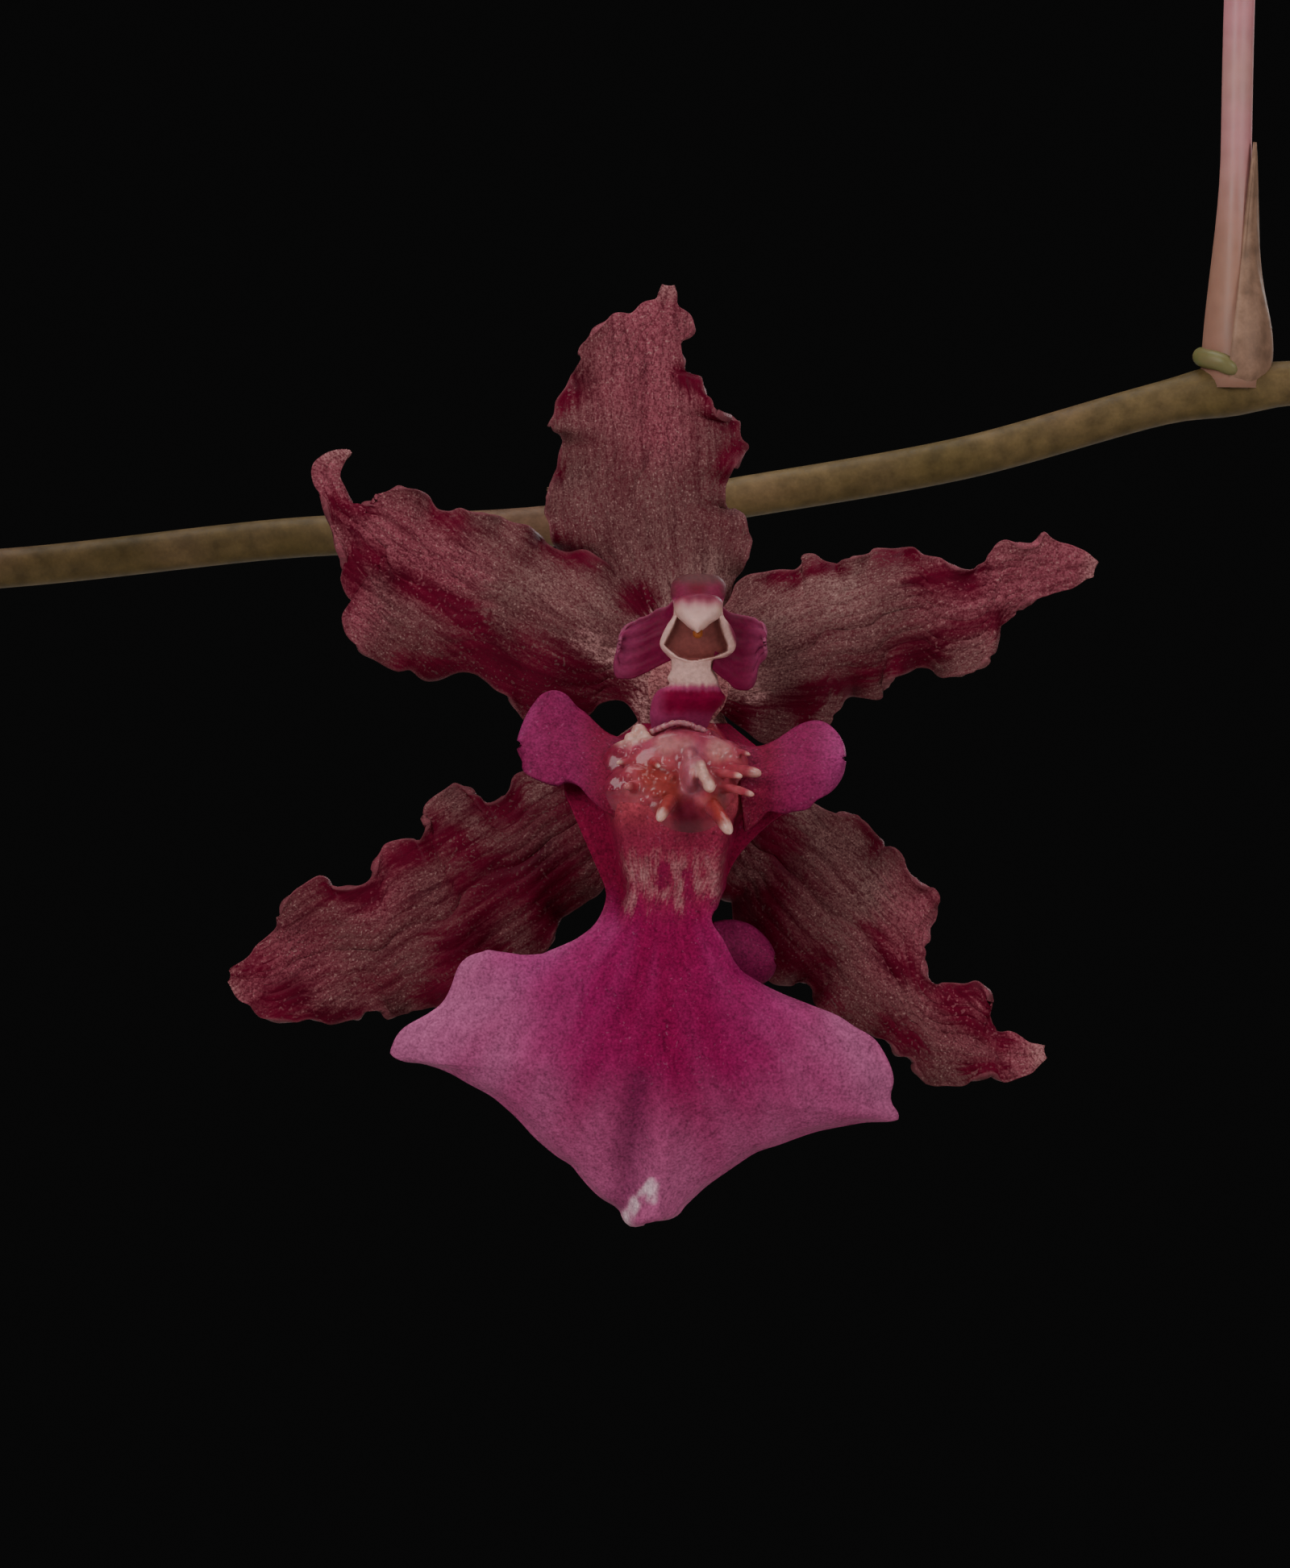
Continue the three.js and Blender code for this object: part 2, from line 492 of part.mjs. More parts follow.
const TEPALS = [
  { // the dorsal sepal
    rest: 1.2, rise: 1.4, arch: 0.7, ruffle: 0.45, waves: 5,
    spans: [
      [-0.7, 1.3, 1.0, 1.3], [-1.8, 3.3, 1.6, 3.4], [-3.6, 5.2, 2.2, 5.0], [-4.8, 6.4, 2.4, 6.2],
      [-5.1, 7.6, 1.9, 7.2], [-4.9, 9.2, 1.7, 8.1], [-4.7, 10.3, 2.2, 9.6], [-4.9, 11.2, 1.9, 10.8],
      [-4.4, 12.2, 1.2, 11.2], [-4.0, 12.9, 0.6, 12.0], [-3.8, 13.7, 0.1, 13.2], [-3.1, 14.3, 0.3, 14.2],
      [-1.1, 15.1, -0.4, 15.2], [-0.9, 15.7, -0.4, 15.7],
    ],
  },
  { // the left petal, with its tip hooked upwards
    rest: 0.6, rise: 1.2, arch: 1.2, ruffle: 0.5, waves: 4,
    spans: [
      [-0.4, 2.4, -0.8, 0.2], [-1.8, 4.0, -2.4, -0.1], [-3.4, 5.4, -4.3, -0.4], [-4.8, 6.1, -5.8, -0.2],
      [-6.3, 6.9, -6.7, 0.8], [-7.8, 7.3, -7.9, 1.4], [-9.2, 7.4, -9.3, 1.3], [-10.2, 8.3, -10.5, 1.4],
      [-11.1, 8.2, -11.7, 2.0], [-11.7, 7.8, -12.4, 3.0], [-12.1, 7.7, -12.5, 4.3], [-12.5, 7.8, -12.9, 5.8],
      [-12.7, 8.0, -13.3, 7.1], [-12.9, 8.5, -13.6, 8.0], [-12.8, 9.1, -13.7, 8.7], [-12.5, 9.7, -13.5, 9.3],
    ],
  },
  { // the right petal
    rest: 0.6, rise: 1.4, arch: 1.1, ruffle: 0.5, waves: 5,
    spans: [
      [0.6, 2.2, 0.9, 0.2], [1.4, 3.6, 1.6, -0.4], [2.2, 4.7, 3.0, -0.9], [3.2, 5.3, 4.5, -1.0],
      [4.0, 5.1, 5.5, -0.4], [5.0, 5.6, 6.3, 0.5], [6.4, 5.7, 7.4, 0.7], [8.6, 5.9, 8.7, 1.6],
      [9.3, 5.6, 9.8, 1.2], [10.6, 5.2, 10.8, 1.5], [11.5, 5.8, 11.7, 3.1], [13.0, 6.2, 13.1, 4.2],
      [13.4, 6.5, 13.8, 4.4], [15.2, 5.6, 15.2, 5.0],
    ],
  },
  { // the left lateral sepal
    rest: 1.2, rise: 1.4, arch: 0.8, ruffle: 0.5, waves: 6,
    spans: [
      [-0.6, 0.8, -0.1, -1.0], [-1.8, -0.6, -1.3, -3.0], [-3.1, -1.5, -2.7, -6.1], [-4.8, -2.1, -3.4, -7.0],
      [-6.0, -2.5, -4.3, -7.6], [-7.2, -3.6, -5.3, -9.0], [-8.6, -2.8, -7.2, -10.3],
      [-9.7, -3.8, -8.4, -10.9], [-9.8, -4.9, -9.5, -11.1], [-11.4, -5.4, -10.7, -11.4],
      [-11.7, -6.5, -11.5, -11.3], [-13.2, -6.5, -12.8, -11.5], [-14.9, -7.1, -14.1, -11.5],
      [-15.5, -8.4, -15.3, -11.6], [-16.8, -9.7, -16.5, -10.8],
    ],
  },
  { // the right lateral sepal
    rest: 1.2, rise: 1.4, arch: 0.8, ruffle: 0.5, waves: 6,
    spans: [
      [0.8, 0.8, 0.2, -1.0], [1.7, -1.0, 0.4, -3.0], [2.5, -2.4, 0.7, -5.4], [3.8, -3.3, 1.2, -7.0],
      [4.9, -3.8, 1.8, -8.5], [6.1, -3.9, 2.9, -9.8], [7.2, -4.7, 4.0, -10.2], [8.2, -5.7, 4.9, -11.1],
      [9.2, -6.7, 5.8, -11.7], [9.1, -8.0, 6.7, -12.2], [9.0, -9.2, 7.6, -12.6], [9.4, -10.0, 8.3, -13.1],
      [10.3, -10.2, 8.8, -13.8], [11.1, -10.5, 9.8, -14.0], [11.5, -11.8, 11.6, -13.7],
      [13.3, -12.6, 13.1, -13.1],
    ],
  },
];

const LIP_WAIST = [
  [-1.6, -0.6, 1.6, -0.6], [-2.6, -2.1, 2.6, -2.2], [-3.2, -3.6, 3.0, -3.9], [-3.4, -4.8, 2.2, -5.2],
  [-3.1, -6.5, 1.3, -6.5], [-3.2, -7.6, 1.1, -7.6],
];
const LIP_LOBE = [
  [-3.1, -6.5, 1.3, -6.5], [-3.1, -7.7, 1.0, -7.6], [-4.1, -8.7, 1.1, -8.5], [-7.0, -9.2, 2.1, -9.9],
  [-8.3, -9.5, 3.6, -10.7], [-9.1, -10.9, 5.8, -11.6], [-10.7, -12.2, 7.4, -13.0], [-10.9, -12.7, 7.7, -14.1],
  [-9.6, -13.1, 7.7, -15.0], [-7.2, -14.2, 6.3, -15.4], [-4.9, -16.1, 3.2, -16.2], [-3.0, -17.8, 1.0, -17.6],
  [-2.2, -18.8, -0.7, -18.8],
];
const LIP_EARS = [
  [[-1.8, -1.1, -2.2, -4.2], [-3.1, -0.8, -3.4, -3.8], [-4.0, 0.0, -4.3, -3.1], [-4.7, 0.7, -4.9, -2.9],
    [-5.5, 0.2, -5.5, -2.7], [-6.1, -1.0, -6.1, -1.9]],
  [[1.9, -1.3, 2.2, -4.5], [3.0, -1.3, 3.3, -3.9], [4.0, -0.8, 4.1, -3.6], [4.9, -0.5, 4.8, -3.4],
    [5.5, -0.8, 5.5, -2.9], [5.8, -1.6, 5.8, -2.2]],
];
// The whole lip in one outline, for the flowers with less detail.
const LIP_OUTLINE = [
  [-1.7, -0.6, 1.7, -0.6], [-5.0, -1.2, 5.1, -1.2], [-5.5, -2.8, 5.4, -2.9], [-3.5, -4.4, 2.7, -4.5],
  [-3.1, -6.5, 1.3, -6.5], [-3.5, -8.5, 1.2, -8.4], [-8.3, -9.5, 3.4, -10.6], [-10.8, -12.3, 7.4, -13.2],
  [-9.2, -13.5, 7.3, -15.2], [-5.0, -16.0, 3.4, -16.1], [-2.2, -18.8, -0.7, -18.8],
];

// Both edges as smooth curves, and a point between them at t along and s across.
function spanned(spans, depth, mirror) {
  const one = smoothCurve(spans.map(([x, z]) => [x, 0, z]));
  const other = smoothCurve(spans.map(([, , x, z]) => [x, 0, z]));
  return (t, s) => {
    const { x, z } = one.getPoint(t).lerp(other.getPoint(t), (s + 1) / 2);
    return vector(mirror * x, depth(t, s, z), z);
  };
}

const DEPTHWAYS = vector(0, 1, 0);

function tepalSolid({ rest, rise, arch, ruffle, waves, spans }, steps, strips, mirror) {
  const depth = (t, s) => {
    const wave = Math.abs(s) ** 3 * Math.sin(Math.PI * t) * Math.sin(2 * Math.PI * waves * t + 2.1 * s);
    const edge = s * s * Math.sin(Math.PI * Math.min(1, 0.15 + t)) ** 2;
    return rest + rise * t * t + arch * edge + ruffle * wave;
  };
  return blade(steps, strips, spanned(spans, depth, mirror), TEPAL_THICKNESS / 2, DEPTHWAYS);
}

// How far the lip stands out in front of the tepals, at a height.
function lipDepth(z) {
  return -0.7 - 2.7 * smoothstep(-z, -0.2, 4) - 0.9 * smoothstep(-z, 6, 11) + 2.0 * smoothstep(-z, 13, 19);
}

function lipSolid(fine, mirror, grow = 0) {
  const curled = (t, s, z) => lipDepth(z) + 0.9 * s * s * smoothstep(-z, 1, 4);
  const flared = (t, s, z) => lipDepth(z) - 0.5 * Math.sin(0.6 * Math.PI * t) + 0.25 * s;
  const sheet = (spans, depth, steps, strips) => {
    return blade(steps, strips, spanned(spans, depth, mirror), TEPAL_THICKNESS / 2 + grow, DEPTHWAYS);
  };
  if (!fine) return sheet(LIP_OUTLINE, curled, 9, 2);
  return joined([
    sheet(LIP_WAIST, curled, 5, 2),
    sheet(LIP_LOBE, curled, 11, 4),
    sheet(LIP_EARS[0], flared, 4, 2),
    sheet(LIP_EARS[1], flared, 4, 2),
  ]);
}

// The callus: a warty mound on the lip, with a keel, two horns below it and blunt fingers at the sides. A
// finger is the x and z of its foot and of its tip, how far the tip stands out, and its radius.
const CALLUS_FINGERS = [
  [-0.4, -4.0, -0.9, -4.5, 1.4, 0.45], [1.1, -4.0, 1.7, -4.8, 1.5, 0.55], [0.4, -1.5, 0.8, -2.9, 2.2, 0.6],
  [1.4, -2.3, 2.5, -2.4, 1.2, 0.32], [1.7, -3.2, 2.7, -3.3, 0.9, 0.3], [1.4, -1.6, 2.4, -1.6, 0.7, 0.32],
  [-1.4, -2.2, -2.6, -2.1, 0.9, 0.3], [-1.3, -3.2, -2.1, -3.5, 0.6, 0.4],
];

function callusSolid(fine, mirror) {
  const face = (z) => lipDepth(z) - TEPAL_THICKNESS / 2 - 0.25;
  const mound = ball([0, face(-2.9) - 0.15, -2.7], [2.2, 1.1, 1.8], fine ? 5 : 4, fine ? 8 : 6);
  if (!fine) return mound;
  const fingers = CALLUS_FINGERS.map(([fx, fz, tx, tz, out, radius]) => {
    const foot = vector(mirror * fx, face(fz) - 0.2, fz);
    const tip = vector(mirror * tx, face(fz) - 0.6 - out, tz);
    return stem(straight(foot, tip), 1, 4, (t) => radius * (1 - 0.35 * t));
  });
  return joined([mound, ...fingers]);
}

// The column springs forwards from the middle of the flower and turns up: a post with a wing at each side.
function columnSolid(fine, mirror) {
  const line = smoothCurve([[0, -0.2, 0.55], [0.05, -1.6, 0.9], [0.3, -2.8, 2.5], [0.5, -3.0, 4.4]]);
  const radiusAt = (t) => 0.85 + 0.3 * t + 0.15 * Math.sin(Math.PI * t);
  const post = stem(line, fine ? 6 : 3, fine ? 8 : 5, radiusAt);
  const wings = [-1, 1].map((side) => {
    const spans = [
      [side * 0.5, 4.2, side * 0.4, 1.7], [side * 1.5, 3.9, side * 1.2, 1.6],
      [side * 2.3, 3.5, side * 2.2, 1.1], [side * 2.9, 2.9, side * 2.8, 1.7],
    ];
    const place = spanned(spans, (t) => -2.7 + 0.5 * t, mirror);
    return blade(fine ? 4 : 2, fine ? 2 : 1, place, 0.3, DEPTHWAYS);
  });
  return joined([post, ...wings]);
}

// The anther cap with its beak, and the hollow under it that holds the stigma.
function capSolid(grow = 0) {
  const shell = ball([0.5, -3.9, 3.9], [0.95 + grow, 0.7 + grow, 1.0 + grow], 4, 8);
  const line = straight(vector(0.5, -4.0, 3.6), vector(0.5, -4.5 - grow, 2.8 - grow));
  return shell.add(stem(line, 1, 5, (t) => 0.5 - 0.3 * t + grow));
}
const stigmaHollow = () => ball([0.4, -4.2, 2.4], [0.8, 1.1, 0.7], 4, 8);

function hubAndTepals(fine, mirror) {
  const hub = new THREE.CylinderGeometry(HUB.radius, HUB.radius, HUB.length, 6);
  const tepals = TEPALS.map((tepal) => tepalSolid(tepal, fine ? 11 : 5, fine ? 4 : 2, mirror));
  return joined([solidOf(hub.translate(mirror * HUB.x, HUB.length / 2 + 0.1, HUB.z)), ...tepals]);
}

// The flower seen best has its callus and anther cap as pieces of their own.
function bestFlower() {
  return {
    tepals: [hubAndTepals(true, 1), 'tepal'],
    lip: [lipSolid(true, 1), 'lip'],
    callus: [mainPiece(callusSolid(true, 1).subtract(lipSolid(true, 1, FLOWER_GAP))), 'callus'],
    column: [columnSolid(true, 1).subtract(capSolid(FLOWER_GAP)).subtract(stigmaHollow()), 'column'],
    anther_cap: [capSolid(), 'cap'],
  };
}

function plainFlower(mirror) {
  return {
    tepals: [hubAndTepals(false, mirror), 'tepal'],
    lip: [lipSolid(false, mirror).add(callusSolid(false, mirror)), 'lip'],
    column: [columnSolid(false, mirror), 'column'],
  };
}

function makeFlowers() {
  const kinds = { best: bestFlower(), plain: plainFlower(1), mirrored: plainFlower(-1) };
  for (const flower of FLOWERS) {
    const group = new THREE.Group();
    group.position.set(...flower.at);
    group.rotation.copy(facing(flower));
    plant.add(group);
    const organs = flower.fine ? kinds.best : flower.mirrored ? kinds.mirrored : kinds.plain;
    for (const [organ, [solid, finish]] of Object.entries(organs)) {
      addNode(flower.name + '_' + organ, solid, finish, group);
    }
  }
}

makePot();
makeBark();
BULBS.forEach((bulb) => addNode(bulb.name, bulbSolid(bulb), 'bulb'));
makeLeaves();
makeShoot();
makeStems();
makeFlowers();

export default plant;
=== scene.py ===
import bisect
import functools
import math
import random

import bmesh
import bpy
from mathutils import Matrix, Vector, noise


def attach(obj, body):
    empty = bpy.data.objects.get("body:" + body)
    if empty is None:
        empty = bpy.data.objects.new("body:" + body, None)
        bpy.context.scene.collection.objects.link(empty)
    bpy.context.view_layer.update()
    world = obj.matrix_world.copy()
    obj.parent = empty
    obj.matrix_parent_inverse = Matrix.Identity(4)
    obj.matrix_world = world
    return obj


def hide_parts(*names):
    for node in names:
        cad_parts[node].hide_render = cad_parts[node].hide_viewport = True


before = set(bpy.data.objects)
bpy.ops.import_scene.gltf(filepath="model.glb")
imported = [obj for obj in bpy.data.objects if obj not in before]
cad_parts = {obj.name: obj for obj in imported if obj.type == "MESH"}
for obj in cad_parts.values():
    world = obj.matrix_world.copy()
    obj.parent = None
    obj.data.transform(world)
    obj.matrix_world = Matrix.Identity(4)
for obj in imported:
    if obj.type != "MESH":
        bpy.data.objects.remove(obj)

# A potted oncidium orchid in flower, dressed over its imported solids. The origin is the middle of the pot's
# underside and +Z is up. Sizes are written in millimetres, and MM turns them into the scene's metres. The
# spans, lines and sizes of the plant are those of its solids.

MM = 0.001
IN_METRES = Matrix.Scale(MM, 4)


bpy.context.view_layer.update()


# Plain sums

def smooth(value, low, high):
    """0 below low, 1 above high, and an even ease between them."""
    share = min(1.0, max(0.0, (value - low) / (high - low)))
    return share * share * (3 - 2 * share)


def mixed(first, second, share):
    """A colour between two others."""
    share = min(1.0, max(0.0, share))
    return tuple(a + (b - a) * share for a, b in zip(first, second))


def rough(x, y, z=0.0):
    """Soft random unevenness, from about -1 to 1."""
    return noise.noise(Vector((x, y, z)))


def polar(reach, turn):
    """The x and y at that distance from the middle and that turn."""
    return reach * math.cos(turn), reach * math.sin(turn)


def touched(x, z, strokes, soft=0.0):
    """How far strokes of paint cover a point. A stroke is a line from x, z to x, z, and its half width."""
    most = 0.0
    for x1, z1, x2, z2, width in strokes:
        run = Vector((x2 - x1, z2 - z1))
        away = Vector((x - x1, z - z1))
        share = min(1.0, max(0.0, away.dot(run) / max(run.length_squared, 1e-6)))
        inner = max(0.0, 0.3 * width - soft)
        most = max(most, 1 - smooth((away - run * share).length, inner, 1.6 * width + soft))
    return most


class Line:
    """A smooth line through given points."""

    def __init__(self, points):
        self.points = [Vector(point) for point in points]
        parts = 16 * (len(points) - 1)
        trail = [self.at(i / parts) for i in range(parts + 1)]
        self.lengths = [0.0]
        for here, there in zip(trail, trail[1:]):
            self.lengths.append(self.lengths[-1] + (there - here).length)
        self.length = self.lengths[-1]

    def at(self, t):
        points = self.points
        last = len(points) - 1
        i = min(int(t * last), last - 1)
        u = t * last - i
        start, end = points[i], points[i + 1]
        before = points[i - 1] if i else 2 * start - end
        after = points[i + 2] if i + 2 <= last else 2 * end - start
        stops = (before, start, end, after)
        gap_in, gap, gap_out = (max((b - a).length, 1e-4) ** 0.5 for a, b in zip(stops, stops[1:]))
        leaving = (start - before) / gap_in - (end - before) / (gap_in + gap) + (end - start) / gap
        arriving = (end - start) / gap - (after - start) / (gap + gap_out) + (after - end) / gap_out
        leaving, arriving = leaving * gap, arriving * gap
        square = -3 * start + 3 * end - 2 * leaving - arriving
        cube = 2 * start - 2 * end + leaving + arriving
        return start + leaving * u + square * u ** 2 + cube * u ** 3

    def even(self, share):
        """The point at that share of the line's length."""
        goal = share * self.length
        i = min(max(bisect.bisect_left(self.lengths, goal), 1), len(self.lengths) - 1)
        low, high = self.lengths[i - 1], self.lengths[i]
        return self.at((i - 1 + (goal - low) / max(high - low, 1e-9)) / (len(self.lengths) - 1))


class Bend(Line):
    """A line bent by two handles between its ends."""

    def at(self, t):
        a, b, c, d = self.points
        u = 1 - t
        return a * u ** 3 + b * (3 * t * u ** 2) + c * (3 * t ** 2 * u) + d * t ** 3


UPRIGHT = Line([(0, 0, 0), (0, 0, 1)])


# Meshes. A mesh is shaped in millimetres, and every vertex carries its paint: its tint, the colour of the
# frosted skin that may lie on it, which is partly painted sheen, and how thick that frost is.

WHITE = (1.0, 1.0, 1.0)


def new_mesh():
    """An empty mesh with room for its paint."""
    bm = bmesh.new()
    bm.loops.layers.uv.new("grain")
    bm.verts.layers.float_color.new("tint")
    bm.verts.layers.float_color.new("bloom")
    bm.verts.layers.float.new("frost")
    return bm


def coat(bm, vert, tint, bloom=WHITE, frost=0.0):
    vert[bm.verts.layers.float_color["tint"]] = (*tint, 1.0)
    vert[bm.verts.layers.float_color["bloom"]] = (*bloom, 1.0)
    vert[bm.verts.layers.float["frost"]] = frost


def sheet(bm, across, along, place, paint):
    """A grid laid over place(t, s), with t from 0 to 1 from base to tip and s from -1 to 1 across."""
    grid = bmesh.ops.create_grid(bm, x_segments=across, y_segments=along, size=1, calc_uvs=True)
    for vert in grid["verts"]:
        s, t = vert.co.x, (vert.co.y + 1) / 2
        vert.co = place(t, s)
        coat(bm, vert, *paint(t, s, vert.co))
    return grid["verts"]


def one_tint(tint):
    """A paint that is the same all over."""
    return lambda *place: (tint,)


def rings_along(line, steps):
    """Even points on a line, each with two directions square to it that turn as little as they can."""
    points = [line.even(i / steps) for i in range(steps + 1)]
    side = (points[1] - points[0]).orthogonal()
    rings = []
    for i, point in enumerate(points):
        ahead = (points[min(i + 1, steps)] - points[max(i - 1, 0)]).normalized()
        side = (side - ahead * side.dot(ahead)).normalized()
        rings.append((point, side, ahead.cross(side)))
    return rings


def tube(bm, line, around, steps, radius, paint):
    """A tube along a line, closed at both ends. radius(t, angle) is its section."""
    rings = rings_along(line, steps)
    grid = bmesh.ops.create_grid(bm, x_segments=around, y_segments=steps + 2, size=1, calc_uvs=True)
    for vert in grid["verts"]:
        row = round((vert.co.y + 1) / 2 * (steps + 2))
        step = min(max(row - 1, 0), steps)
        angle = math.pi * (vert.co.x + 1)
        point, side, over = rings[step]
        reach = 0.0 if row in (0, steps + 2) else radius(step / steps, angle)
        vert.co = point + reach * (math.cos(angle) * side + math.sin(angle) * over)
        coat(bm, vert, *paint(step / steps, angle, vert.co))
    bmesh.ops.remove_doubles(bm, verts=grid["verts"], dist=1e-4)


def rod(radius, squareness):
    """The section of a tube with rounded ends, blunter where squareness is high."""
    return lambda t, angle: radius * math.sqrt(max(0.02, 1 - (2 * t - 1) ** squareness))


def turned(bm, profile, steps, tint):
    """A profile of radius and height, spun round the upright axis."""
    verts = [bm.verts.new((radius, 0.0, height)) for radius, height in profile]
    edges = [bm.edges.new(pair) for pair in zip(verts, verts[1:])]
    bmesh.ops.spin(
        bm, geom=verts + edges, cent=(0, 0, 0), axis=(0, 0, 1), dvec=(0, 0, 0),
        angle=2 * math.pi, steps=steps, use_merge=True, use_duplicate=False,
    )
    bmesh.ops.remove_doubles(bm, verts=bm.verts, dist=1e-4)
    for vert in bm.verts:
        coat(bm, vert, tint)


def placed(name, data):
    """Puts a mesh, a lamp or a camera in the scene."""
    made = bpy.data.objects.new(name, data)
    bpy.context.scene.collection.objects.link(made)
    return made


def as_object(name, bm):
    """Turns a finished mesh into an object of the scene."""
    mesh = bpy.data.meshes.new(name)
    bm.to_mesh(mesh)
    bm.free()
    return placed(name, mesh)


def settled(made):
    """The mesh that an object's modifiers make of it."""
    bpy.context.view_layer.update()
    return bpy.data.meshes.new_from_object(made.evaluated_get(bpy.context.evaluated_depsgraph_get()))


def piece(name, bm, finish, nodes, place=IN_METRES, thickness=0.0, bevel=0.0):
    """Turns a mesh into a piece of the plant that stands for its CAD nodes."""
    bmesh.ops.transform(bm, matrix=place, verts=bm.verts)
    bmesh.ops.recalc_face_normals(bm, faces=bm.faces)
    for face in bm.faces:
        face.smooth = True
    made = as_object(name, bm)
    made.data.materials.append(finish)
    if thickness:
        wall = made.modifiers.new("thickness", "SOLIDIFY")
        wall.thickness = thickness * MM
        wall.offset = 0.0
    if bevel:
        edge = made.modifiers.new("rounded edges", "BEVEL")
        edge.width = bevel * MM
        edge.segments = 3
        edge.limit_method = "ANGLE"
        edge.harden_normals = True
    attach(made, "root")
    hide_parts(*nodes)
    return made


# Finishes

class Finish:
    """A material built node by node on one shader. A socket named here holds one number all over."""

    def __init__(self, name, **constants):
        self.material = bpy.data.materials.new(name)
        self.material.use_nodes = True
        self.tree = self.material.node_tree
        self.shader = self.tree.nodes["Principled BSDF"]
        for socket, value in constants.items():
            self.shader.inputs[socket.replace("_", " ")].default_value = value

    def feed(self, socket, value):
        if isinstance(value, bpy.types.NodeSocket):
            self.tree.links.new(value, socket)
        else:
            socket.default_value = value

    def node(self, kind, inputs, **settings):
        made = self.tree.nodes.new("ShaderNode" + kind)
        for key, value in settings.items():
            setattr(made, key, value)
        for key, value in inputs.items():
            self.feed(made.inputs[key], value)
        return made

    def paint(self, name):
        return self.node("Attribute", {}, attribute_name=name).outputs["Color"]

    def amount(self, name):
        return self.node("Attribute", {}, attribute_name=name).outputs["Fac"]

    def patches(self, size, detail=2.0, stretch=(1, 1, 1)):
        """Soft random patches of about that size in millimetres, fixed in the plant's own space."""
        place = self.node("TexCoord", {}).outputs["Object"]
        place = self.node("Mapping", {"Vector": place, "Scale": stretch}).outputs[0]
        inputs = {"Vector": place, "Scale": 1 / (size * MM), "Detail": detail}
        return self.node("TexNoise", inputs).outputs[0]

    def fibres(self, across, along, detail=2.0):
        """Random streaks that follow a piece: so many across its width and along its length."""
        place = self.node("UVMap", {}, uv_map="grain").outputs[0]
        place = self.node("Mapping", {"Vector": place, "Scale": (across, along, 1)}).outputs[0]
        return self.node("TexNoise", {"Vector": place, "Scale": 1.0, "Detail": detail}).outputs[0]

    def sum(self, *terms):
        """The sum of (weight, value) terms."""
        total = 0.0
        for weight, value in terms:
            made = self.node("Math", {0: value, 1: weight, 2: total}, operation="MULTIPLY_ADD")
            total = made.outputs[0]
        return total

    def product(self, value, other):
        return self.node("Math", {0: value, 1: other}, operation="MULTIPLY").outputs[0]

    def span(self, value, low, high, start=0.0, end=1.0):
        inputs = {"Value": value, "From Min": low, "From Max": high, "To Min": start, "To Max": end}
        return self.node("MapRange", inputs, clamp=True).outputs[0]

    def spread(self, noise_value, start, end):
        """Noise keeps near the middle of its range. This spreads it from start to end."""
        return self.span(noise_value, 0.3, 0.7, start, end)

    def mix(self, share, first, second, blend="MIX"):
        made = self.node("Mix", {0: share, 6: first, 7: second}, data_type="RGBA", blend_type=blend)
        return made.outputs[2]

    def shaded(self, colour, noise_value, low, high):
        """The colour, darker and brighter with the noise."""
        grey = self.node("CombineColor", {k: self.spread(noise_value, low, high) for k in range(3)})
        return self.mix(1.0, colour, grey.outputs[0], "MULTIPLY")

    def done(self, colour, roughness, height=None, depth=0.02, strength=0.6):
        """The material, with a bump of that depth in millimetres where a height is given."""
        self.feed(self.shader.inputs["Base Color"], colour)
        self.feed(self.shader.inputs["Roughness"], roughness)
        if height is not None:
            inputs = {"Height": height, "Distance": depth * MM, "Strength": strength}
            self.feed(self.shader.inputs["Normal"], self.node("Bump", inputs).outputs[0])
        return self.material


# The first two are colours of painted glints: sparkle on the frost and specks on the lip.
FROST_SPARKLE = (0.4, 0.23, 0.21, 1)
LIP_GLINT = (0.42, 0.16, 0.27, 1)
LEAF_FLECK = (0.22, 0.24, 0.07, 1)
BULB_SPOT = (0.07, 0.035, 0.012, 1)
CHALK_BLOOM = (0.46, 0.33, 0.26, 1)
FLOOR_GREY = (0.62, 0.61, 0.59, 1)


def velvet_finish():
    """Sepals and petals: waxy crimson under a frost of tiny raised cells, in rows along the veins. The
    frost's pale colour is partly painted sheen; its sparkle and the stray specks are painted glints.
    """
    f = Finish("crimson_velvet", Specular_IOR_Level=0.04)
    grain = f.patches(0.07, 1.0)
    fine = f.fibres(120, 60)
    veins = f.fibres(46, 4.5, 3.0)
    wide = f.fibres(13, 1.7, 3.0)
    cells = f.sum((0.5, grain), (0.5, fine))
    streaks = f.sum((0.65, veins), (0.35, wide))
    cover = f.sum((2.4, f.amount("frost")), (1.7, veins), (1.1, wide), (1.6, cells))
    cover = f.product(f.span(cover, 2.6, 4.1), f.span(cells, 0.38, 0.56, 0.38, 1.0))
    cover = f.product(cover, f.span(streaks, 0.36, 0.52, 0.72, 1.0))
    skin = f.shaded(f.paint("bloom"), f.sum((0.6, cells), (0.4, streaks)), 0.5, 1.5)
    # Painted glints: bright specks on the frost.
    sparkle = f.product(cover, f.span(f.patches(0.075, 0.0), 0.6, 0.82, 0.0, 0.6))
    skin = f.mix(sparkle, skin, FROST_SPARKLE)
    flesh = f.shaded(f.paint("tint"), f.sum((0.3, cells), (0.7, streaks)), 0.65, 1.35)
    # Painted glints: sparse bright specks, on the crimson too.
    stray_glints = f.product(f.span(f.patches(0.11, 0.0), 0.66, 0.74, 0.0, 0.9), f.span(wide, 0.38, 0.55))
    colour = f.mix(f.sum((1.0, cover), (1.0, stray_glints)), flesh, skin)
    return f.done(colour, f.span(cover, 0, 1, 0.4, 0.75), cells, 0.04)


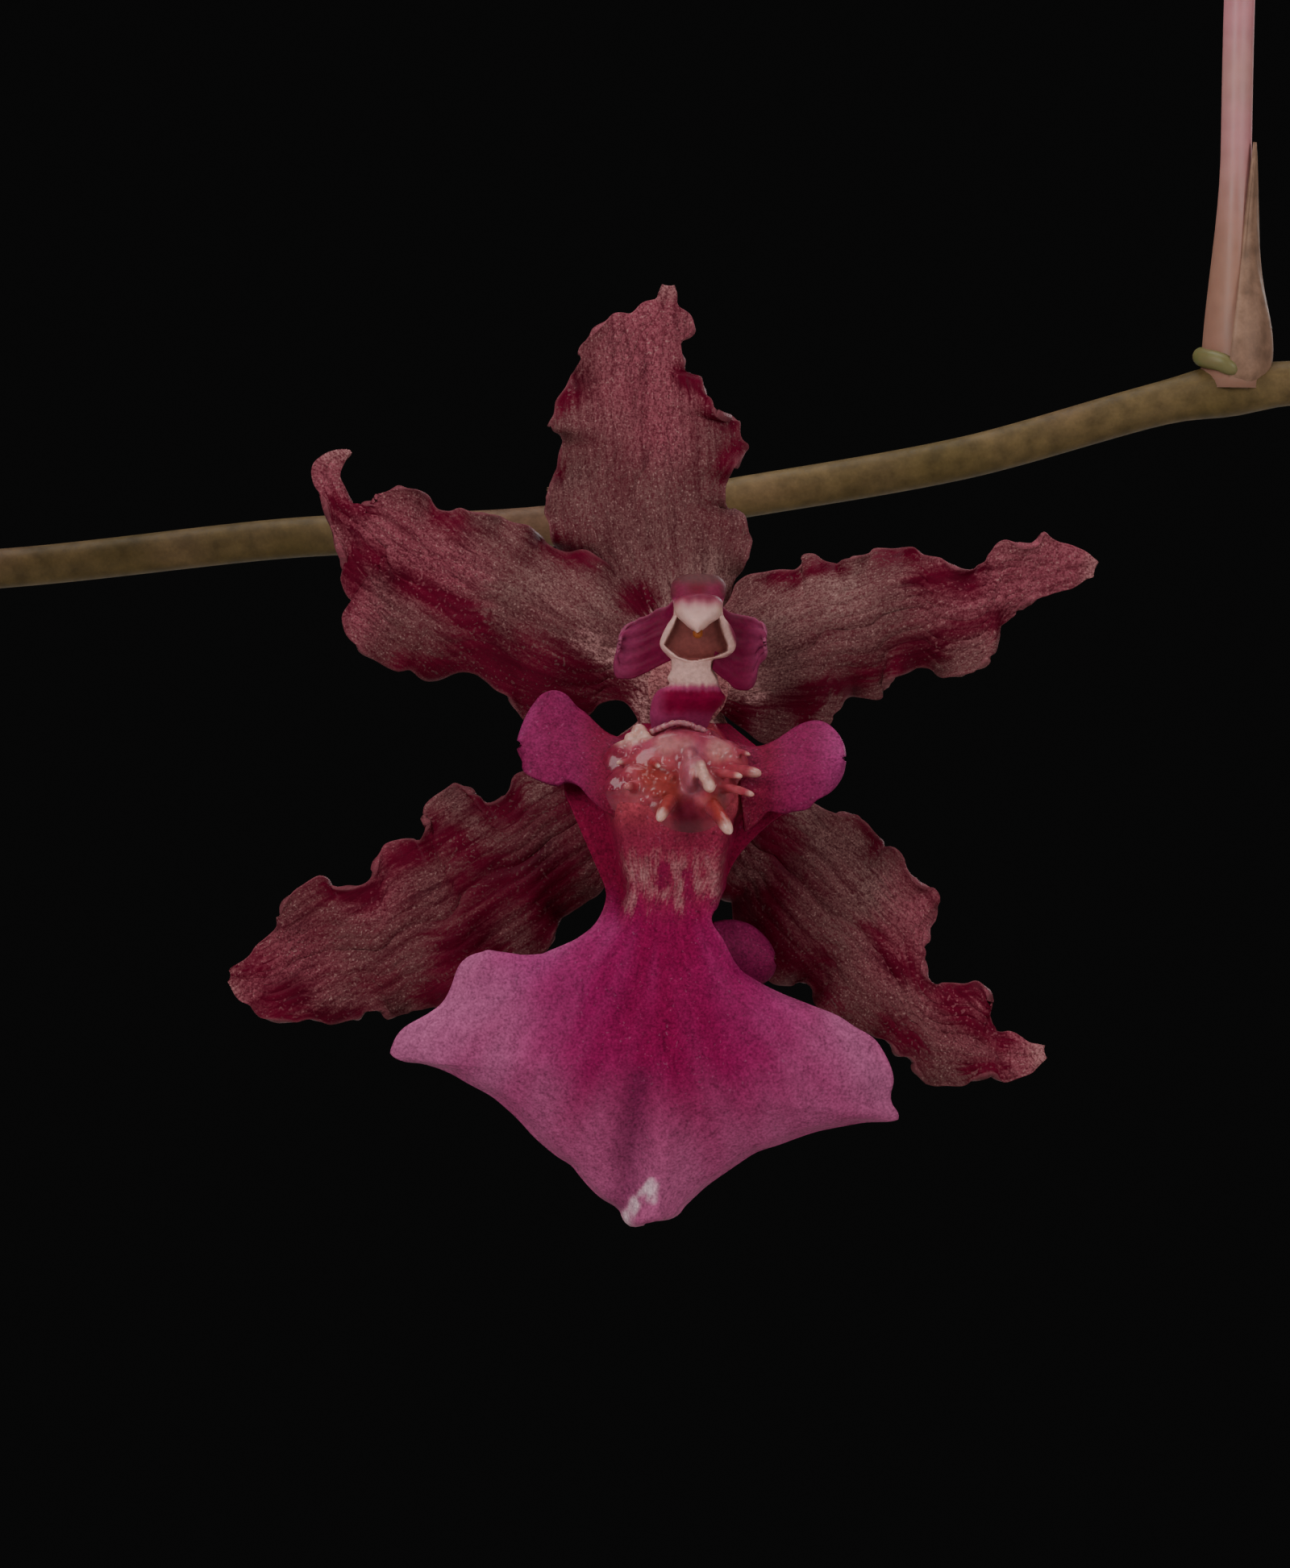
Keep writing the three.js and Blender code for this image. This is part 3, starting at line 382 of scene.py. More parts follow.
def lip_finish():
    """The lip: magenta with a fine sparkling speckle of painted glints and soft darker veins, frosted on its
    narrow waist.
    """
    f = Finish("magenta_lip", Specular_IOR_Level=0.05)
    grain = f.patches(0.09, 1.0)
    streaks = f.sum((0.5, f.fibres(46, 17, 4.0)), (0.5, f.patches(0.3, 3.0)))
    dashes = f.fibres(80, 60)
    frost = f.span(f.sum((1.8, f.amount("frost")), (2.2, dashes), (0.8, grain)), 2.1, 3.3)
    colour = f.shaded(f.paint("tint"), f.sum((0.5, grain), (0.5, streaks)), 0.48, 1.52)
    colour = f.mix(frost, colour, f.shaded(f.paint("bloom"), grain, 0.65, 1.35))
    # Painted glints: fine bright specks.
    glints = f.span(f.patches(0.12, 1.0), 0.66, 0.8, 0.0, 0.25)
    colour = f.mix(glints, colour, LIP_GLINT)
    height = f.sum((0.5, grain), (0.7, streaks))
    return f.done(colour, f.spread(grain, 0.46, 0.66), height, 0.025, 0.5)


def flesh_finish(name, grain, shades, gloss, depth, strength=0.6, **constants):
    """Smooth flesh with soft patches of about the grain's size in millimetres."""
    f = Finish(name, **constants)
    clouds = f.patches(grain)
    colour = f.shaded(f.paint("tint"), clouds, *shades)
    return f.done(colour, f.spread(clouds, *gloss), clouds, depth, strength)


def stem_finish():
    """Stems, buds and bracts: mottled skin with a fine grain."""
    f = Finish("mottled_stem", Specular_IOR_Level=0.14)
    mottle = f.patches(0.7, 3.0)
    skin = f.patches(0.12)
    colour = f.shaded(f.paint("tint"), mottle, 0.74, 1.26)
    colour = f.shaded(colour, skin, 0.92, 1.08)
    return f.done(colour, f.spread(skin, 0.42, 0.62), f.sum((0.6, mottle), (0.4, skin)), 0.03)


def leaf_finish():
    """Leaves: glossy straps with parallel veins and a few pale flecks."""
    f = Finish("strap_leaf_green", Specular_IOR_Level=0.45)
    veins = f.fibres(46, 2.2)
    clouds = f.patches(9, 3.0)
    flecks = f.span(f.patches(1.1), 0.66, 0.74)
    colour = f.shaded(f.paint("tint"), f.sum((0.6, veins), (0.4, clouds)), 0.7, 1.3)
    colour = f.mix(f.sum((0.35, flecks)), colour, LEAF_FLECK)
    return f.done(colour, f.spread(clouds, 0.3, 0.46), veins, 0.12, 0.55)


def bulb_finish():
    """Pseudobulbs: firm green skin with fine wrinkles and small brown spots."""
    f = Finish("pseudobulb_skin", Specular_IOR_Level=0.4)
    wrinkles = f.fibres(60, 5, 3.0)
    clouds = f.patches(7, 3.0)
    spots = f.span(f.patches(1.6), 0.64, 0.7)
    colour = f.shaded(f.paint("tint"), f.sum((0.35, wrinkles), (0.65, clouds)), 0.72, 1.28)
    colour = f.mix(f.sum((0.5, spots)), colour, BULB_SPOT)
    return f.done(colour, f.spread(clouds, 0.34, 0.52), wrinkles, 0.2)


def clay_finish():
    """The pot: unglazed clay with turning marks, pores and a chalky bloom."""
    f = Finish("unglazed_clay", Specular_IOR_Level=0.2)
    chalk = f.span(f.patches(30, 6.0), 0.42, 0.8)
    marks = f.patches(2.4, 2.0, (0.04, 0.04, 1))
    pores = f.patches(0.8, 3.0)
    colour = f.shaded(f.paint("tint"), f.sum((0.5, marks), (0.5, pores)), 0.82, 1.16)
    colour = f.mix(f.sum((0.28, chalk)), colour, CHALK_BLOOM)
    return f.done(colour, f.span(chalk, 0, 1, 0.82, 0.94), f.sum((0.7, marks), (0.3, pores)), 0.25, 0.7)


def bark_finish():
    """Bark chips: dry layered bark, pale where it broke."""
    f = Finish("fir_bark", Specular_IOR_Level=0.15)
    layers = f.patches(1.6, 4.0, (1, 1, 2.5))
    clouds = f.patches(7, 3.0)
    colour = f.shaded(f.paint("tint"), f.sum((0.65, layers), (0.35, clouds)), 0.4, 1.6)
    return f.done(colour, f.spread(layers, 0.75, 0.95), layers, 0.5, 0.8)


def floor_finish():
    """The floor: matt pale grey, a little cloudy."""
    f = Finish("pale_floor", Specular_IOR_Level=0.2)
    clouds = f.patches(240, 3.0)
    return f.done(f.shaded(FLOOR_GREY, clouds, 0.97, 1.03), f.span(clouds, 0, 1, 0.7, 0.8))


VELVET = velvet_finish()
LIP_SKIN = lip_finish()
# The callus is wet and warty, the column smooth, the cap like fine wax.
CALLUS_FLESH = flesh_finish(
    "fleshy_callus", 0.22, (0.84, 1.16), (0.3, 0.5), 0.05, 0.7, Subsurface_Weight=0.3,
    Subsurface_Scale=0.0005, Specular_IOR_Level=0.12, Coat_Weight=0.42, Coat_Roughness=0.12,
)
COLUMN_FLESH = flesh_finish(
    "column_flesh", 0.14, (0.86, 1.14), (0.4, 0.55), 0.015, 0.5, Subsurface_Weight=0.1,
    Subsurface_Scale=0.0003, Specular_IOR_Level=0.06,
)
CAP_WAX = flesh_finish(
    "ivory_cap", 0.35, (0.9, 1.1), (0.38, 0.5), 0.02, Subsurface_Weight=0.15,
    Subsurface_Scale=0.0003, Specular_IOR_Level=0.12,
)
PEDICEL_SKIN = flesh_finish(
    "smooth_pedicel", 0.9, (0.92, 1.08), (0.35, 0.5), 0.02, Subsurface_Weight=0.1,
    Subsurface_Scale=0.0004, Specular_IOR_Level=0.25,
)
STEM_SKIN = stem_finish()
LEAF_SKIN = leaf_finish()
BULB_SKIN = bulb_finish()
CLAY = clay_finish()
BARK = bark_finish()


# The pot

POT_HEIGHT = 104
POT_BASE_RADIUS = 41
POT_TOP_RADIUS = 59
POT_WALL = 5
POT_FLOOR = 7
RIM_HEIGHT = 24
RIM_STEP = 4.5
DRAIN_HOLES = (45, 135, 225, 315)
DRAIN_REACH = 20
DRAIN_RADIUS = 4.5
BARK_LEVEL = 88
BODY_TOP = POT_HEIGHT - RIM_HEIGHT
TAPER = (POT_TOP_RADIUS - RIM_STEP - POT_BASE_RADIUS) / BODY_TOP
TERRACOTTA = (0.34, 0.115, 0.055)


def outer_radius(z):
    return POT_BASE_RADIUS + TAPER * z


def inner_radius(z):
    return outer_radius(z) - POT_WALL


def make_pot():
    """The pot with its stepped rim, cut through its floor by the drain holes."""
    bm = new_mesh()
    turned(bm, [
        (0, 0), (POT_BASE_RADIUS - 1, 0), (outer_radius(1), 1), (outer_radius(BODY_TOP), BODY_TOP),
        (POT_TOP_RADIUS - 1, BODY_TOP + 0.5), (POT_TOP_RADIUS, POT_HEIGHT - 1.5),
        (POT_TOP_RADIUS - 1.5, POT_HEIGHT), (inner_radius(POT_HEIGHT) + 0.5, POT_HEIGHT),
        (inner_radius(POT_FLOOR), POT_FLOOR), (0, POT_FLOOR),
    ], 96, TERRACOTTA)
    pot = piece("clay_pot", bm, CLAY, ["pot"], bevel=0.9)
    drill = new_mesh()
    for degrees in DRAIN_HOLES:
        middle = Matrix.Translation((*polar(DRAIN_REACH, math.radians(degrees)), 0))
        bmesh.ops.create_cone(
            drill, cap_ends=True, segments=24, radius1=DRAIN_RADIUS, radius2=DRAIN_RADIUS,
            depth=3 * POT_FLOOR, matrix=middle,
        )
    bmesh.ops.transform(drill, matrix=IN_METRES, verts=drill.verts)
    cutter = as_object("drain_holes", drill)
    cut = pot.modifiers.new("drain holes", "BOOLEAN")
    cut.object = cutter
    pot.modifiers.move(1, 0)
    shaped = settled(pot)
    pot.modifiers.clear()
    pot.data = shaped
    bpy.data.objects.remove(cutter)


# The bark

CHIPS = 150
CHIP_SEED = 11
BARK_BED_TINT = (0.03, 0.017, 0.01)
DARK_BARK = (0.105, 0.05, 0.028)
LIGHT_BARK = (0.24, 0.125, 0.07)
BROKEN_BARK = (0.3, 0.19, 0.12)


def make_bark():
    """The bed that fills the pot, and loose chips laid on it in a sunflower's order."""
    chance = random.Random(CHIP_SEED)
    bottom = POT_FLOOR + 0.3
    bm = new_mesh()
    turned(bm, [
        (0, bottom), (inner_radius(POT_FLOOR) - 1, bottom),
        (inner_radius(BARK_LEVEL) - 0.6, BARK_LEVEL - 1.5), (30, BARK_LEVEL - 0.5), (0, BARK_LEVEL),
    ], 48, BARK_BED_TINT)
    piece("bark_bed", bm, BARK, ["bark"])
    bm = new_mesh()
    golden_turn = math.pi * (3 - math.sqrt(5))
    reach = inner_radius(BARK_LEVEL) - 7
    for i in range(CHIPS):
        radius = reach * math.sqrt((i + 0.5) / CHIPS)
        size = (chance.uniform(9, 17), chance.uniform(6, 10), chance.uniform(2.5, 5.5))
        height = BARK_LEVEL + chance.uniform(-1, 3.4) - radius / 60
        place = Matrix.Translation((*polar(radius, i * golden_turn), height))
        place @= Matrix.Rotation(chance.uniform(0, math.pi), 4, "Z")
        place @= Matrix.Rotation(chance.uniform(-0.45, 0.45), 4, "X")
        place @= Matrix.Rotation(chance.uniform(-0.4, 0.4), 4, "Y")
        place @= Matrix.Diagonal((*size, 1))
        before = len(bm.verts)
        verts = bmesh.ops.create_cube(bm, size=1)["verts"]
        edges = list({edge for vert in verts for edge in vert.link_edges})
        bmesh.ops.subdivide_edges(bm, edges=edges, cuts=2, use_grid_fill=True)
        bm.verts.ensure_lookup_table()
        tint = mixed(DARK_BARK, LIGHT_BARK, chance.random() ** 1.5)
        for vert in bm.verts[before:]:
            spot = vert.co.copy()
            vert.co = place @ (spot * (1.12 - 0.3 * spot.length))
            vert.co += Vector((0, 0, 1.3 * rough(vert.co.x * 0.3, vert.co.y * 0.3, i)))
            coat(bm, vert, mixed(tint, BROKEN_BARK, 0.35 * smooth(spot.length, 0.6, 0.87)))
    piece("bark_chips", bm, BARK, ["bark"])


# The pseudobulbs, in a row along the rhizome

BULB_FOOT = 78
ROW_TURN = -math.pi / 4
BULB_RIB = 0.05
RIBS = 7
BULB_GREEN = (0.075, 0.125, 0.022)
BULB_YELLOW_GREEN = (0.125, 0.175, 0.04)
BULB_BROWN = (0.16, 0.12, 0.045)
HUSK_BROWN = (0.2, 0.12, 0.06)
HUSK_STRAW = (0.4, 0.29, 0.17)
BULBS = [
    {"foot": (19, -17), "height": 84, "width": 20, "depth": 10.5, "lean": 2},
    {"foot": (0, 1), "height": 80, "width": 19, "depth": 9.5, "lean": -3},
    {"foot": (-18, 18), "height": 67, "width": 17, "depth": 8, "lean": -7},
]


def bulb_place(bulb):
    """Stands a bulb of unit size on its foot, turned with the row and leaning."""
    turn = Matrix.Rotation(ROW_TURN, 4, "Z") @ Matrix.Rotation(math.radians(bulb["lean"]), 4, "Y")
    return Matrix.Translation((*bulb["foot"], BULB_FOOT)) @ turn


def bulb_radius(t):
    """The share of a bulb's full width at t, from its foot to its top."""
    swell = max(0.0, math.sin(math.pi * (0.1 + 0.9 * t) ** 0.8))
    return swell ** 0.62


def make_bulb(number, bulb):
    """A ribbed bulb, and the two dry husks that wrap its lower half."""
    bm = new_mesh()

    def section(t, angle):
        ribs = BULB_RIB * math.cos(RIBS * angle) + 0.012 * rough(*polar(3, angle), 6 * t)
        return bulb_radius(t) * (1 + ribs)

    def paint(t, angle, spot):
        share = 0.5 + 0.8 * rough(2 * spot.x, 2 * spot.y, 3 * t)
        fresh = mixed(BULB_GREEN, BULB_YELLOW_GREEN, share)
        return (mixed(fresh, BULB_BROWN, smooth(t, 0.25, 0.0) + smooth(t, 0.9, 1.0) * 0.7),)

    tube(bm, UPRIGHT, 84, 48, section, paint)
    shape = Matrix.Diagonal((bulb["depth"], bulb["width"], bulb["height"], 1))
    place = IN_METRES @ bulb_place(bulb) @ shape
    piece(f"bulb_{number}", bm, BULB_SKIN, [f"pseudobulb_{number}"], place)

    husks = new_mesh()
    for side, tall in ((1, 0.5), (-1, 0.38)):
        def husk(t, s, side=side, tall=tall):
            angle = side * math.pi / 2 + 1.25 * s * (1 - t ** 2)
            grow = 1.06 + 0.05 * t + 0.02 * rough(4 * s, 5 * t, side)
            radius = bulb_radius(0.06 + tall * t) * (1 + BULB_RIB * math.cos(RIBS * angle)) * grow
            return Vector((*polar(radius, angle), 0.06 + tall * t))

        def husk_paint(t, s, spot):
            streak = rough(9 * s, 1.5 * t, side)
            return (mixed(HUSK_BROWN, HUSK_STRAW, 0.5 + streak - 0.3 * t),)

        sheet(husks, 24, 24, husk, husk_paint)
    piece(f"dry_husk_{number}", husks, STEM_SKIN, [f"pseudobulb_{number}"], place, thickness=0.3)


# Leaves

LEAF_SPREAD = 4.2
LEAF_SINK = 4
YOUNG_GREEN = (0.105, 0.16, 0.03)
DARK_GREEN = (0.04, 0.095, 0.018)
MID_GREEN = (0.065, 0.13, 0.026)
RIB_GREEN = (0.13, 0.15, 0.04)
DRY_TIP = (0.17, 0.1, 0.045)
STUB_GREEN = (0.12, 0.15, 0.05)


def top_of(bulb, heading):
    """Where a leaf springs from the top of a bulb."""
    lean = math.radians(bulb["lean"])
    top = Vector(bulb["foot"]) + Vector(polar(bulb["height"] * math.sin(lean), ROW_TURN))
    x, y = top + Vector(polar(LEAF_SPREAD, math.radians(heading)))
    return (x, y, BULB_FOOT + bulb["height"] * math.cos(lean) - LEAF_SINK)


# Heading, how far a leaf goes out, how high its arch stands, how far the tip drops, and half its width.
LEAVES = [
    (top_of(BULBS[0], -14), -14, 126, 112, 40, 14),
    (top_of(BULBS[0], 246), 246, 108, 108, 38, 14),
    (top_of(BULBS[1], 62), 62, 108, 118, 26, 13),
    (top_of(BULBS[1], 212), 212, 128, 104, 46, 14),
    (top_of(BULBS[2], 142), 142, 118, 112, 40, 13),
    ((29, -30, 84), -52, 104, 112, 24, 12),
    ((2, -33, 84), -148, 96, 100, 20, 12),
    ((18, 22, 84), 24, 98, 112, 18, 12),
]
SHOOT_FOOT = (37.5, -17.5, 83)
SHOOT_RADIUS = 2.4
# Heading, how far a leaf of the shoot goes out, its height and half its width.
SHOOT_LEAVES = [(-28, 32, 62, 6.5), (42, 18, 44, 5.5)]


def add_leaf(bm, foot, heading, reach, rise, fall, width, steps=64):
    """A strap leaf, folded along its rib at the base and nearly flat towards the tip."""
    turn = math.radians(heading)
    side = Vector((-math.sin(turn), math.cos(turn), 0))

    def at(out, up):
        return Vector(foot) + Vector((*polar(out, turn), up))

    rib = Bend([
        at(0, 0), at(0.08 * reach, 0.62 * rise), at(0.42 * reach, 1.25 * rise), at(reach, rise - fall),
    ])

    @functools.cache
    def section(t):
        ahead = (rib.at(min(1, t + 1e-3)) - rib.at(max(0, t - 1e-3))).normalized()
        spread = math.sin(math.pi * (0.08 + 0.92 * t) ** 1.05)
        half = width * (0.12 + 0.88 * spread) * min(1.0, 0.12 + (1 - t) / 0.05)
        fold = math.radians(18 + 58 * math.exp(-9 * t))
        return rib.at(t), ahead.cross(side).normalized(), half, fold

    def place(t, s):
        spot, upward, half, fold = section(t)
        wave = 0.5 * s * s * math.sin(17 * t + heading) * math.sin(math.pi * t)
        crease = math.sqrt(s * s + 0.006) - 0.07
        return spot + side * (half * s * math.cos(fold)) + upward * (half * crease * math.sin(fold) + wave)

    def paint(t, s, spot):
        tint = mixed(DARK_GREEN, MID_GREEN, 0.5 + rough(*(spot / 30)))
        tint = mixed(tint, YOUNG_GREEN, smooth(t, 0.22, 0.0) + 0.35 * smooth(abs(s), 0.9, 1))
        tint = mixed(tint, RIB_GREEN, 0.5 * smooth(abs(s), 0.09, 0.0))
        return (mixed(tint, DRY_TIP, 0.8 * smooth(t, 0.975, 1.0)),)

    sheet(bm, 20, steps, place, paint)


def make_leaves():
    for number, leaf in enumerate(LEAVES, 1):
        bm = new_mesh()
        add_leaf(bm, *leaf)
        piece(f"strap_leaf_{number}", bm, LEAF_SKIN, [f"leaf_{number}"], thickness=0.9)
    bm = new_mesh()
    x, y, z = SHOOT_FOOT
    for heading, reach, rise, width in SHOOT_LEAVES:
        east, north = polar(SHOOT_RADIUS, math.radians(heading))
        add_leaf(bm, (x + east, y + north, z), heading, reach, rise, 0, width, 28)
    piece("shoot_leaves", bm, LEAF_SKIN, ["young_shoot"], thickness=0.9)
    bm = new_mesh()
    stub = Line([(x, y, z), (x, y, z + 12)])
    tube(bm, stub, 16, 8, lambda t, angle: SHOOT_RADIUS - 1.4 * t, one_tint(STUB_GREEN))
    piece("shoot_stub", bm, LEAF_SKIN, ["young_shoot"])


# Stems

STEM_RADIUS = 2.6
BRANCH_RADIUS = 0.92
BRANCH_TAPER = 0.18
NODE_RISE = 0.22
NODE_WIDTH = 1.6
STEM_SIDES = 28
MAIN_STEM_RINGS = 260
BRANCH_RINGS = 150
BRACT_RINGS = 60
# The share of its pedicel that the long bract covers, and the line of the green collar at its foot.
LONG_BRACT = 0.225
COLLAR = [(0.8, -5.2, 359.4), (0.8, -6.6, 359.2), (1.4, -7.2, 359.0), (2.1, -7.3, 358.6)]
PEDICEL_RADIUS = 0.62
MAIN_STEM = [
    (37, -1, 81), (39, -2, 130), (39, -4, 200), (35, -5, 270), (30, -4, 335), (27, -2, 385), (20, 3, 422),
    (4, 4, 456), (-20, 0, 486), (-45, -6, 506), (-70, -10, 518), (-90, -12, 523),
]
# The shares of the main stem at which its sheaths begin, and the share that each covers.
SHEATHS = (0.15, 0.27, 0.4)
SHEATH_LENGTH = 0.055
BRANCHES = {
    "branch_1": [
        (31, -4, 339), (20, -5.5, 354), (9, -6, 358), (2, -6, 358), (-9, -6, 355.2), (-18.1, -6, 353.6),
        (-22.1, -6, 352.9), (-27, -6, 352.4), (-35, -6, 352.1), (-50, -6.2, 350.7), (-60, -7, 351.4),
        (-74, -8, 354),
    ],
    "branch_2": [
        (27.5, -2.5, 378), (40, -6, 396), (56, -9, 406), (74, -11, 411), (92, -10, 415), (106, -8, 421),
    ],
    "branch_3": [(22, 2, 414), (16, 16, 432), (4, 32, 444), (-10, 46, 451), (-22, 56, 458)],
    "branch_4": [(10, 4, 446), (22, -4, 462), (38, -14, 473), (54, -24, 480), (66, -32, 487)],
}
HUB = {"radius": 1.5, "length": 2.2, "x": 0.1, "z": 0.8}
FLOWER_GAP = 0.2

# Where each flower hangs: its stem, where its pedicel springs, its middle, its turn, nod and roll. rise is
# how its pedicel sets out, and mirror swaps its left and right.
FLOWERS = [
    {"stem": "branch_1", "from": (-22.1, -6, 352.9), "at": (-20, -24, 345), "turn": 0, "nod": 0, "roll": 0,
     "rise": (0, 0, 3), "fine": True},
    {"stem": "branch_1", "from": (2, -6, 358), "at": (13, -8, 396), "turn": 60, "nod": 6, "roll": -4,
     "rise": (0.3, 0, 24)},
    {"stem": "branch_1", "from": (-50, -6.2, 350.7), "at": (-63, -28, 364), "turn": -28, "nod": 8, "roll": 6,
     "mirror": -1},
    {"stem": "branch_2", "from": (56, -9, 406), "at": (54, -33, 397), "turn": 14, "nod": 10, "roll": -5},
    {"stem": "branch_2", "from": (74, -11, 411), "at": (88, -24, 430), "turn": 48, "nod": 2, "roll": 8,
     "mirror": -1},
    {"stem": "branch_3", "from": (4, 32, 444), "at": (-16, 44, 432), "turn": -126, "nod": 8, "roll": 4},
    {"stem": "branch_4", "from": (38, -14, 473), "at": (32, -38, 466), "turn": -4, "nod": 12, "roll": 5,
     "mirror": -1},
    {"stem": "flower_stem", "from": (-20, 0, 486), "at": (-28, -26, 482), "turn": -16, "nod": 8, "roll": -3},
]
# Each bud: its stem, where its stalk springs and where it ends, and its size.
BUDS = [
    ("branch_1", (-60, -7, 351.4), (-69, 1, 360), 1), ("branch_1", (-74, -8, 354), (-84, -9, 359), 0.8),
    ("branch_2", (92, -10, 415), (99, -2, 427), 1), ("branch_2", (106, -8, 421), (116, -9, 428), 0.8),
    ("branch_3", (-10, 46, 451), (-2, 56, 461), 1.05), ("branch_3", (-22, 56, 458), (-31, 61, 465), 0.8),
    ("branch_4", (54, -24, 480), (60, -20, 493), 1), ("branch_4", (66, -32, 487), (75, -37, 493), 0.8),
    ("flower_stem", (-45, -6, 506), (-52, 6, 518), 1.1), ("flower_stem", (-70, -10, 518), (-77, -21, 528), 1),
    ("flower_stem", (-90, -12, 523), (-100, -13, 527), 0.8),
]
OLIVE = (0.105, 0.07, 0.025)
TAN = (0.155, 0.1, 0.045)
COLLAR_GREEN = (0.17, 0.17, 0.06)
DULL_ROSE = (0.56, 0.225, 0.25)
PAPER = (0.24, 0.135, 0.085)
PAPER_EDGE = (0.34, 0.2, 0.14)
LONG_BRACT_TAN = (0.255, 0.145, 0.098)
SHEATH_TAN = (0.19, 0.14, 0.07)
DULL_PURPLE = (0.16, 0.075, 0.055)
COLLAR_TAN = (0.2, 0.15, 0.07)
WARM_ROSE = (0.5, 0.24, 0.225)
PEDICEL_BROWN = (0.3, 0.16, 0.1)
BUD_GREEN = (0.12, 0.11, 0.035)
BUD_CRIMSON = (0.14, 0.022, 0.028)
BUD_SEAM = (0.04, 0.006, 0.01)


def stem_paint(t, angle, spot):
    """Olive skin with tan patches and dull purple blotches."""
    tint = mixed(OLIVE, TAN, 0.5 + 0.9 * rough(*(spot / 2.3)))
    blotch = smooth(rough(spot.x / 7, spot.y / 7, spot.z / 7 + 9), 0.1, 0.5)
    return (mixed(tint, DULL_PURPLE, 0.6 * blotch),)


def pedicel_paint(t, angle, spot):
    """Dull rose, brown where it springs."""
    rose = mixed(DULL_ROSE, WARM_ROSE, 0.5 + rough(*(spot / 3)))
    return (mixed(rose, PEDICEL_BROWN, 0.85 * smooth(t, 0.26, 0.1)),)


def bud_paint(t, angle, spot):
    """Green at the foot, crimson towards the tip, with three dark seams."""
    seam = smooth(math.cos(3 * angle), 0.75, 1.0)
    skin = mixed(BUD_GREEN, BUD_CRIMSON, smooth(t, 0.1, 0.8) + 0.4 * rough(*(spot / 2)))
    return (mixed(skin, BUD_SEAM, 0.5 * seam),)


def facing(flower):
    """How a flower is turned: round the upright axis, then nodding, then rolled."""
    turn, nod, roll = (math.radians(flower[key]) for key in ("turn", "nod", "roll"))
    return Matrix.Rotation(turn, 4, "Z") @ Matrix.Rotation(nod, 4, "X") @ Matrix.Rotation(roll, 4, "Y")


def pedicel_line(flower):
    """From the stem to the seat behind the flower."""
    pose = facing(flower)
    back = pose @ Vector((0, 1, 0))
    seat = pose @ Vector((HUB["x"], HUB["length"] + FLOWER_GAP, HUB["z"])) + Vector(flower["at"])
    foot = Vector(flower["from"])
    away = (seat - foot).length
    rise = Vector(flower.get("rise", (0, 0, 0.42 * away)))
    return Bend([foot, foot + rise, seat + back * (0.25 * away), seat])


def add_pedicel(bm, line):
    def section(t, angle):
        swell = PEDICEL_RADIUS + 0.4 * smooth(t, 0.55, 0.8) + 0.7 * (1 - smooth(t, 0, 0.22))
        return swell * (1 + 0.03 * math.cos(5 * angle))

    tube(bm, line, 20, 48, section, pedicel_paint)


def add_bud(buds, pedicels, foot, head, size):
    """A bud and its stalk, which springs at foot and ends at head."""
    foot, head = Vector(foot), Vector(head)
    middle = foot.lerp(head, 0.5) + Vector((0, 0, -0.12 * (head - foot).length))
    tip = head + (head - middle).normalized() * (10.5 * size)

    def stalk(t, angle):
        return PEDICEL_RADIUS + 0.5 * (1 - smooth(t, 0, 0.4))

    tube(pedicels, Line([foot, middle, head]), 14, 20, stalk, pedicel_paint)

    def section(t, angle):
        round_off = math.sin(math.pi * min(1.0, max(0.0, t)) ** 1.1)
        return max(0.25, 2.7 * size * max(0.0, round_off) ** 0.8) * (1 + 0.04 * math.cos(3 * angle))

    tube(buds, Line([head, tip]), 24, 24, section, bud_paint)


def add_bract(bm, line, share, length, spread, radius, heading, tint, tall=24):
    """A papery scale that wraps part of a stem. heading is the side of the stem that it springs from."""
    rings = rings_along(line, BRACT_RINGS)
    toward = Vector(heading).normalized()

    def place(t, s):
        step = (share + length * t) * BRACT_RINGS
        low = min(int(step), BRACT_RINGS - 1)
        spot = rings[low][0].lerp(rings[low + 1][0], step - low)
        ahead = (rings[low + 1][0] - rings[low][0]).normalized()
        out = (toward - ahead * toward.dot(ahead)).normalized()
        angle = spread * s * (1 - t ** 1.6)
        away = radius(t) * (1 + 0.05 * rough(3 * s, 4 * t))
        return spot + away * (out * math.cos(angle) + ahead.cross(out) * math.sin(angle))

    def paint(t, s, spot):
        return (mixed(tint, PAPER_EDGE, 0.3 * smooth(abs(s), 0.8, 1) + 0.5 * rough(7 * s, 2 * t)),)

    sheet(bm, 20, tall, place, paint)


def node_swell(distances):
    """A stem is a little thicker at each place in distances, which are lengths along it."""
    return lambda at: sum(NODE_RISE * math.exp(-((at - node) / NODE_WIDTH) ** 2) for node in distances)


def nearest_share(line, point):
    """The share of a line's length at which it passes nearest to a point."""
    steps = 200
    return min(range(steps + 1), key=lambda i: (line.even(i / steps) - Vector(point)).length) / steps


